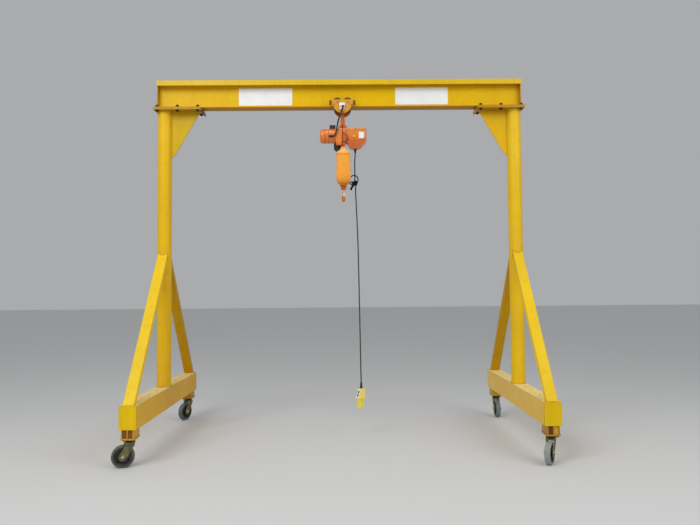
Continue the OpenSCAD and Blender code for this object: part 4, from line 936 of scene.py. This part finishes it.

# Raised seams: the edge and the lid line of the control box, the rim of the gear case's half-round
# cover, and the two bands of the motor. They are dark red-brown, which is painted shade along them
seam_mesh = bmesh.new()
box_face, cover_r = 0.0752, 0.0522
for face, (first, second, thick) in product((-1, 1), (
    ((0.0655, 3.105), (0.0655, 2.985), 0.0016), ((0.075, 2.990), (0.262, 2.990), 0.0014),
)):
    line = [Vector((x, face * box_face, z)) for x, z in (first, second)]
    tube(seam_mesh, resampled(line, 0.01), thick, 6)
tube(seam_mesh, [Vector((trolley_x + cover_r * math.cos(a), -0.0856, cover_z + cover_r * math.sin(a)))
                 for a in (math.pi * (k / 40 - 0.5) for k in range(41))], 0.0027, 8)
band_r = motor_r - 0.0028
for x in (-0.113, -0.149):
    hoop(seam_mesh, Vector((x, 0, motor_z)), BACK * band_r, UP * band_r, 72, 0.0013, 6)
piece("hoist_seams", seam_mesh, moulded("seam_shade", (112, 42, 8), (140, 60, 20), dusting=0.0),
      "trolley", 60)
knob_mesh = bmesh.new()
lathe(knob_mesh, (0.146, hoist_front, 3.030), -BACK, [
    (0, 0), (0.0125, 0), (0.0135, 0.0015), (0.0135, 0.005), (0.0115, 0.0085), (0.006, 0.0102),
    (0, 0.0105)], 32)
piece("hoist_knob", knob_mesh, moulded("knob_plastic", (240, 176, 40), (250, 214, 120), matt=0.35),
      "trolley", 40)
film("hoist_label", "trolley", 0.1935, 0.2440, 3.010, 3.075, hoist_front, 0.004, 0.0004, 9)

# Load chain and hook
# Short-link chain, zinc plated and oiled, hangs into an orange cast block held by screws. The
# forged hook turns in it, painted the same orange, and its sheet latch is zinc plated.
dress(metal("chain_zinc", (188, 184, 170), (72, 64, 50), 0.5, 0.15, 0.28, 0.85), "load_chain")
dress(enamel("block_enamel", (244, 126, 24), (230, 104, 14), 0.6, 0.15, 0.5, bare=(110, 60, 34),
             coat=0.2, shine=0.3), "hook_block", arris=0.001)
# The hook's neck is bare and bright where the latch's pin goes through
dress(zoned(enamel("hook_enamel", (206, 132, 62), (190, 102, 40), 0.8, 0.15, 0.3, bare=(140, 118, 96)),
            (228, 216, 180), 0.85, cover=True, soft=0.006, z=(2.452, 2.6)), "hook")
dress(metal("latch_zinc", (226, 212, 170), (150, 130, 90), 0.3, 0.15, 0.34, 0.55), "hook_latch",
      arris=0.0005)
block_foot = Vector((0.035, 0, 2.4984))
latch_pin_drop, latch_pin_out, latch_half, block_half, neck_r = 0.030, 0.004, 0.0128, 0.026, 0.017
hook_out, hook_axle = turned(-60)
block_mesh = bmesh.new()
for x, z in ((-0.018, 0.066), (0.018, 0.066), (0, 0.03)):
    hole = block_foot + Vector((x, 0, z))
    cap_screw(block_mesh, hole - BACK * block_half, -BACK, 0.0046, 0.004)
    hexagon(block_mesh, hole + BACK * block_half, BACK, 0.009, 0.0045, 0.2)
hoop(block_mesh, block_foot - UP * 0.0018, RIGHT * neck_r, BACK * neck_r, 40, 0.0016, 8)
piece("block_fasteners", block_mesh, bright_bolt, "trolley", 30)
rivet_mesh = bmesh.new()
latch_pin = block_foot - UP * latch_pin_drop + hook_out * latch_pin_out
for face in (-1, 1):
    lathe(rivet_mesh, latch_pin + hook_axle * face * latch_half, hook_axle * face, [
        (0, 0), (0.0040, 0), (0.0042, 0.0006), (0.0034, 0.0020), (0, 0.0024)], 20)
piece("latch_rivets", rivet_mesh, bright_bolt, "hook", 40)

# Chain bag
# A sewn sleeve of coated orange fabric that collects the slack chain. It is gathered under a
# strap at its neck, its seams run down both sides, and the chain's weight rounds its foot. The
# sleeve is a lofted shell that a cloth simulation inflates and lets sag.
bag_x, bag_y, bag_back, bag_top, bag_low = 0.035, -0.090, -0.034, 2.9102, 2.5345
bag_middle = Vector((bag_x, bag_y, 0))
bag_paint, shade = material("bag_fabric")
bag_tone = shade.mixed(shade.spread(shade.noise(7), 0.35, 0.65), screen(254, 172, 36), screen(248, 156, 24))
bag_side = shade.away(shade.part(shade.at(), "x"), bag_x)
bag_z = shade.part(shade.at(), "z")
# Above the hem the shoulder is paler.
# The sides are painted paler, as a painted highlight, and the foot darker, as painted shade.
for mask, colour in (
    (shade.spread(bag_side, 0.048, 0.070, 0, 0.45), (255, 206, 110)),
    (shade.spread(bag_z, 2.62, 2.545), (222, 132, 10)),
    (shade.spread(bag_z, 2.840, 2.866, 0, 0.62), (246, 200, 130)),
):
    bag_tone = shade.mixed(mask, bag_tone, screen(*colour))
bag_weave = shade.plus(shade.noise(1.0, 2, 0.5, (900, 900, 60)), shade.noise(1.0, 2, 0.5, (60, 60, 900)))
bag_tone = shade.tinted(bag_tone, shade.spread(bag_weave, 0.7, 1.3, 0.93, 1.05))
bag_soil = shade.spread(shade.noise(18, 6, 0.66), 0.56, 0.76, 0, 0.45)
shade.surface({"Base Color": shade.mixed(bag_soil, bag_tone, screen(150, 96, 44)),
               "Roughness": shade.spread(shade.noise(26), 0.3, 0.7, 0.5, 0.68), "Sheen Weight": 0.25})
shade.bump(bag_weave, 0.35, 0.0004)

bag_rings = [
    # height, half width, half depth, roundness of the outline
    (2.9085, 0.025, 0.023, 2.2), (2.900, 0.024, 0.022, 2.2), (2.891, 0.030, 0.027, 2.3),
    (2.882, 0.043, 0.037, 2.4), (2.873, 0.055, 0.045, 2.6), (2.860, 0.064, 0.050, 2.9),
    (2.842, 0.0695, 0.0522, 3.2), (2.80, 0.0715, 0.0525, 3.2), (2.74, 0.071, 0.052, 3.2),
    (2.68, 0.071, 0.052, 3.2), (2.63, 0.0705, 0.052, 3.0), (2.59, 0.069, 0.051, 2.8),
    (2.565, 0.064, 0.047, 2.6), (2.548, 0.054, 0.040, 2.4), (2.540, 0.040, 0.028, 2.2),
    (2.5375, 0.016, 0.012, 2.0),
]
bag_sides, ring_step = 72, 0.008


def around_bag(angle, z, half_w, half_d, power, size=1.0):
    """A point on the bag's outline, an ellipse drawn out towards a rectangle."""
    c, s = math.cos(angle), math.sin(angle)
    reach = (abs(c) ** power + abs(s) ** power) ** (-1 / power)
    return (bag_x + half_w * reach * c * size, bag_y + half_d * reach * s * size, z)


fold = random.Random(21)
fold_phases = [fold.uniform(0, math.tau) for _ in range(5)]
loops = []
for first, second in zip(bag_rings, bag_rings[1:] + bag_rings[-1:]):
    steps = max(1, round(abs(second[0] - first[0]) / ring_step))
    for step in range(steps):
        z, half_w, half_d, power = (a + (b - a) * step / steps for a, b in zip(first, second))
        gathers, sag = max(0, min(1, (z - 2.80) / 0.09)), max(0, min(1, (2.66 - z) / 0.08))
        # each wave of the cloth: its height, its number round the bag, and its phase
        waves = (
            (gathers * 0.100, 13, fold_phases[0] + 4 * (z - 2.8)),
            (gathers * 0.040, 29, fold_phases[1]),
            (0.010 * (1 - gathers), 5, fold_phases[2] + 9 * z),
            (0.012 * (1 - sag), 11, fold_phases[4] + 5 * z),
            (sag * 0.014, 7, fold_phases[3] + 40 * z),
        )
        loops.append([
            around_bag(a, z, half_w, half_d, power,
                       sum((high * math.sin(number * a + phase) for high, number, phase in waves), 1))
            for a in (math.tau * k / bag_sides for k in range(bag_sides))])
bag_mesh = bmesh.new()
skin(bag_mesh, loops)
bag = piece("chain_bag_sleeve", bag_mesh, bag_paint, "trolley", 180)
neck_z, cloth_frames, furthest = 2.892, 16, 0.007
start = [v.co.copy() for v in bag.data.vertices]
pinned = bag.vertex_groups.new(name="neck")
pinned.add([v.index for v in bag.data.vertices if v.co.z > neck_z], 1.0, "REPLACE")
cloth = bag.modifiers.new("cloth", "CLOTH")
cloth.settings.quality = 6
cloth.settings.mass = 0.4
cloth.settings.tension_stiffness = 25
cloth.settings.compression_stiffness = 8
cloth.settings.bending_stiffness = 0.6
cloth.settings.use_pressure = True
cloth.settings.uniform_pressure_force = 1.6
cloth.settings.vertex_group_mass = "neck"
cloth.settings.effector_weights.gravity = 0.25
cloth.collision_settings.use_collision = False
cloth.collision_settings.use_self_collision = False
for frame_number in range(1, cloth_frames + 1):
    scene.frame_set(frame_number)
settled = bag.evaluated_get(bpy.context.evaluated_depsgraph_get())
moved = [v.co.copy() for v in settled.data.vertices]
bag.modifiers.remove(cloth)
scene.frame_set(1)
for vertex, before, after in zip(bag.data.vertices, start, moved):
    step = after - before
    if step.length > furthest:
        step *= furthest / step.length
    vertex.co = before + step
    vertex.co.y = min(vertex.co.y, bag_back - 0.0005)
    vertex.co.z = min(max(vertex.co.z, bag_low), bag_top)
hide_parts("chain_bag")

# The strap goes three times round the neck. A seam runs down each side, and a hem runs round the
# bag where its shoulder begins.
strap_mesh = bmesh.new()
strap_wide, strap_deep, strap_r = 0.0272, 0.0250, 0.0022
for z in (2.8950, 2.8990, 2.9030):
    hoop(strap_mesh, bag_middle + UP * z, RIGHT * strap_wide, BACK * strap_deep, 48, strap_r, 6)
strap_paint, shade = material("strap_webbing")
shade.surface({"Roughness": 0.7, "Base Color": shade.mixed(
    shade.spread(shade.noise(90, 4, 0.6), 0.45, 0.62), screen(250, 216, 160), screen(150, 92, 40))})
shade.bump(shade.noise(800, 3, 0.6), 0.4, 0.0004)
piece("bag_strap", strap_mesh, strap_paint, "trolley", 60)
seam_line_mesh = bmesh.new()
for side in (-1, 1):
    line = [bag_middle + Vector((side * (half_w + 0.0012), 0.004, z))
            for z, half_w, _, _ in bag_rings[2:-3]]
    tube(seam_line_mesh, resampled(line, 0.006), 0.0017, 6)
hem_ring = (2.841, 0.0700, 0.0527, 3.2)
hem = [Vector(around_bag(math.tau * k / bag_sides, *hem_ring)) for k in range(bag_sides)]
tube(seam_line_mesh, hem, strap_r, 6, closed=True)
piece("bag_seams", seam_line_mesh, bag_paint, "trolley", 60)

# Pendant
# A push-button pendant in pale yellow plastic, hung by its own cable through a black rubber boot.
# Two half shells are screwed together, the control face is white, and the two round buttons and
# the boot are dark. The head has faded paler than the grip.
pendant_shell = zoned(
    moulded("pendant_shell", (255, 232, 78), (252, 218, 110), (236, 212, 146), 0.3, 0.15, 0.36, 0.0002),
    (252, 226, 136), 0.5, soft=0.01, cover=True, z=(0.385, 0.5))
dress(pendant_shell, "pendant_body", arris=0.0015)
boot_rubber = moulded("boot_rubber", (24, 23, 22), (66, 62, 56), dusting=0.2, matt=0.5)
dress(boot_rubber, "pendant_boot")
dress(moulded("button_plastic", (84, 88, 90), (120, 122, 120), dusting=0.3, matt=0.42),
      "pendant_buttons", arris=0.001)
pendant_top = Vector((0.197, 0, 0.487))
pendant_side, pendant_back = turned(-60)


def on_pendant(across, back, height):
    """A point in the pendant's own directions, from the middle of its top."""
    return pendant_top + pendant_side * across + pendant_back * back + UP * height


boot_mesh = bmesh.new()
boot_r, boot_taper, first_rib, rib_pitch = 0.0128, 0.00062, 0.009, 0.0068
for k in range(7):
    radius = boot_r - k * boot_taper
    rib_middle = pendant_top + UP * (first_rib + k * rib_pitch)
    hoop(boot_mesh, rib_middle, RIGHT * radius, BACK * radius, 36, 0.0018, 6)
piece("boot_ribs", boot_mesh, boot_rubber, "trolley", 60)

# White control face, set in the slanted front of the head
face_top, face_low = Vector((0, -0.020, -0.006)), Vector((0, -0.046, -0.098))
face_slope = face_low - face_top
face_out = Vector((0, face_slope.z, -face_slope.y)).normalized()


def on_face(across, down, out):
    """A point across the control face, a share of the way down it, and out from it."""
    place = face_top + face_slope * down + face_out * out
    return on_pendant(across, place.y, place.z)


face_corners = [(-0.024, 0.06), (0.024, 0.06), (0.025, 0.94), (-0.025, 0.94)]
face_outline = [(a + (b - a) * s / 6, t + (u - t) * s / 6)
                for (a, t), (b, u) in zip(face_corners, face_corners[1:] + face_corners[:1])
                for s in range(6)]
face_mesh = bmesh.new()
skin(face_mesh, [[on_face(a, t, out) for a, t in face_outline] for out in (-0.0004, 0.0011)])
control_white = moulded("control_white", (250, 252, 252), (220, 220, 212), scuffed=0.2, dusting=0.1,
                        matt=0.4)
piece("pendant_face", face_mesh, control_white, "trolley", 30)

collar_mesh = bmesh.new()
face_normal = (pendant_back * face_out.y + UP * face_out.z).normalized()
collar_r = 0.0118
for down in (0.34, 0.68):
    hoop(collar_mesh, on_face(0, down, 0.0012), pendant_side * collar_r,
         pendant_side.cross(face_normal) * collar_r, 36, 0.0016, 6)
piece("button_collars", collar_mesh, boot_rubber, "trolley", 60)
shell_mesh = bmesh.new()
for across in (-0.0305, 0.0305):
    joint = [on_pendant(across * share, back, height) for share, back, height in (
        (0.74, -0.010, -0.190), (0.745, -0.006, -0.122), (0.99, -0.006, -0.094), (0.99, -0.004, -0.012))]
    tube(shell_mesh, resampled(joint, 0.006), 0.0011, 6)
piece("pendant_shell_joint", shell_mesh, pendant_shell, "trolley", 60)
pendant_screws = bmesh.new()
for across, back, height in ((-0.018, 0.0304, -0.020), (0.018, 0.0304, -0.020), (-0.018, 0.0334, -0.086),
                             (0.018, 0.0334, -0.086), (0, 0.0189, -0.180)):
    cap_screw(pendant_screws, on_pendant(across, back, height), pendant_back, 0.0034, 0.0026)
piece("pendant_screws", pendant_screws, bright_bolt, "trolley", 30)

# Floor and light
# A pale floor that catches the shadow, a bright overcast dome, two soft lamps, and a small
# lamp overhead that puts the bright streaks on the hoist's glossy castings.
floor_mesh = bpy.data.meshes.new("floor")
reach = 40
floor_mesh.from_pydata([(-reach, -reach, 0), (reach, -reach, 0), (reach, reach, 0), (-reach, reach, 0)],
                       [], [(0, 1, 2, 3)])
floor = bpy.data.objects.new("floor", floor_mesh)
scene.collection.objects.link(floor)
floor_paint, shade = material("pale_floor")
shade.surface({"Base Color": (0.72, 0.72, 0.71, 1), "Roughness": 0.8})
floor.data.materials.append(floor_paint)
world = bpy.data.worlds.new("studio")
world.use_nodes = True
sky = world.node_tree.nodes["Background"].inputs
sky["Color"].default_value, sky["Strength"].default_value = (0.95, 0.97, 1.0, 1), 0.42
scene.world = world
crane_middle = Vector((0, 0, 1.6))
for lamp_name, place, watts, size in (
    ("key", (-3.5, -5.5, 6.5), 260, 4.0),
    ("fill", (4.5, -4.0, 5.0), 110, 4.0),
    ("overhead", (-0.3, -2.2, 7.1), 22, 1.1),
):
    lamp = bpy.data.lights.new(lamp_name, "AREA")
    lamp.energy = watts
    lamp.size = size
    lamp_object = bpy.data.objects.new(lamp_name, lamp)
    lamp_object.location = place
    lamp_object.rotation_euler = (crane_middle - Vector(place)).to_track_quat("-Z", "Y").to_euler()
    scene.collection.objects.link(lamp_object)
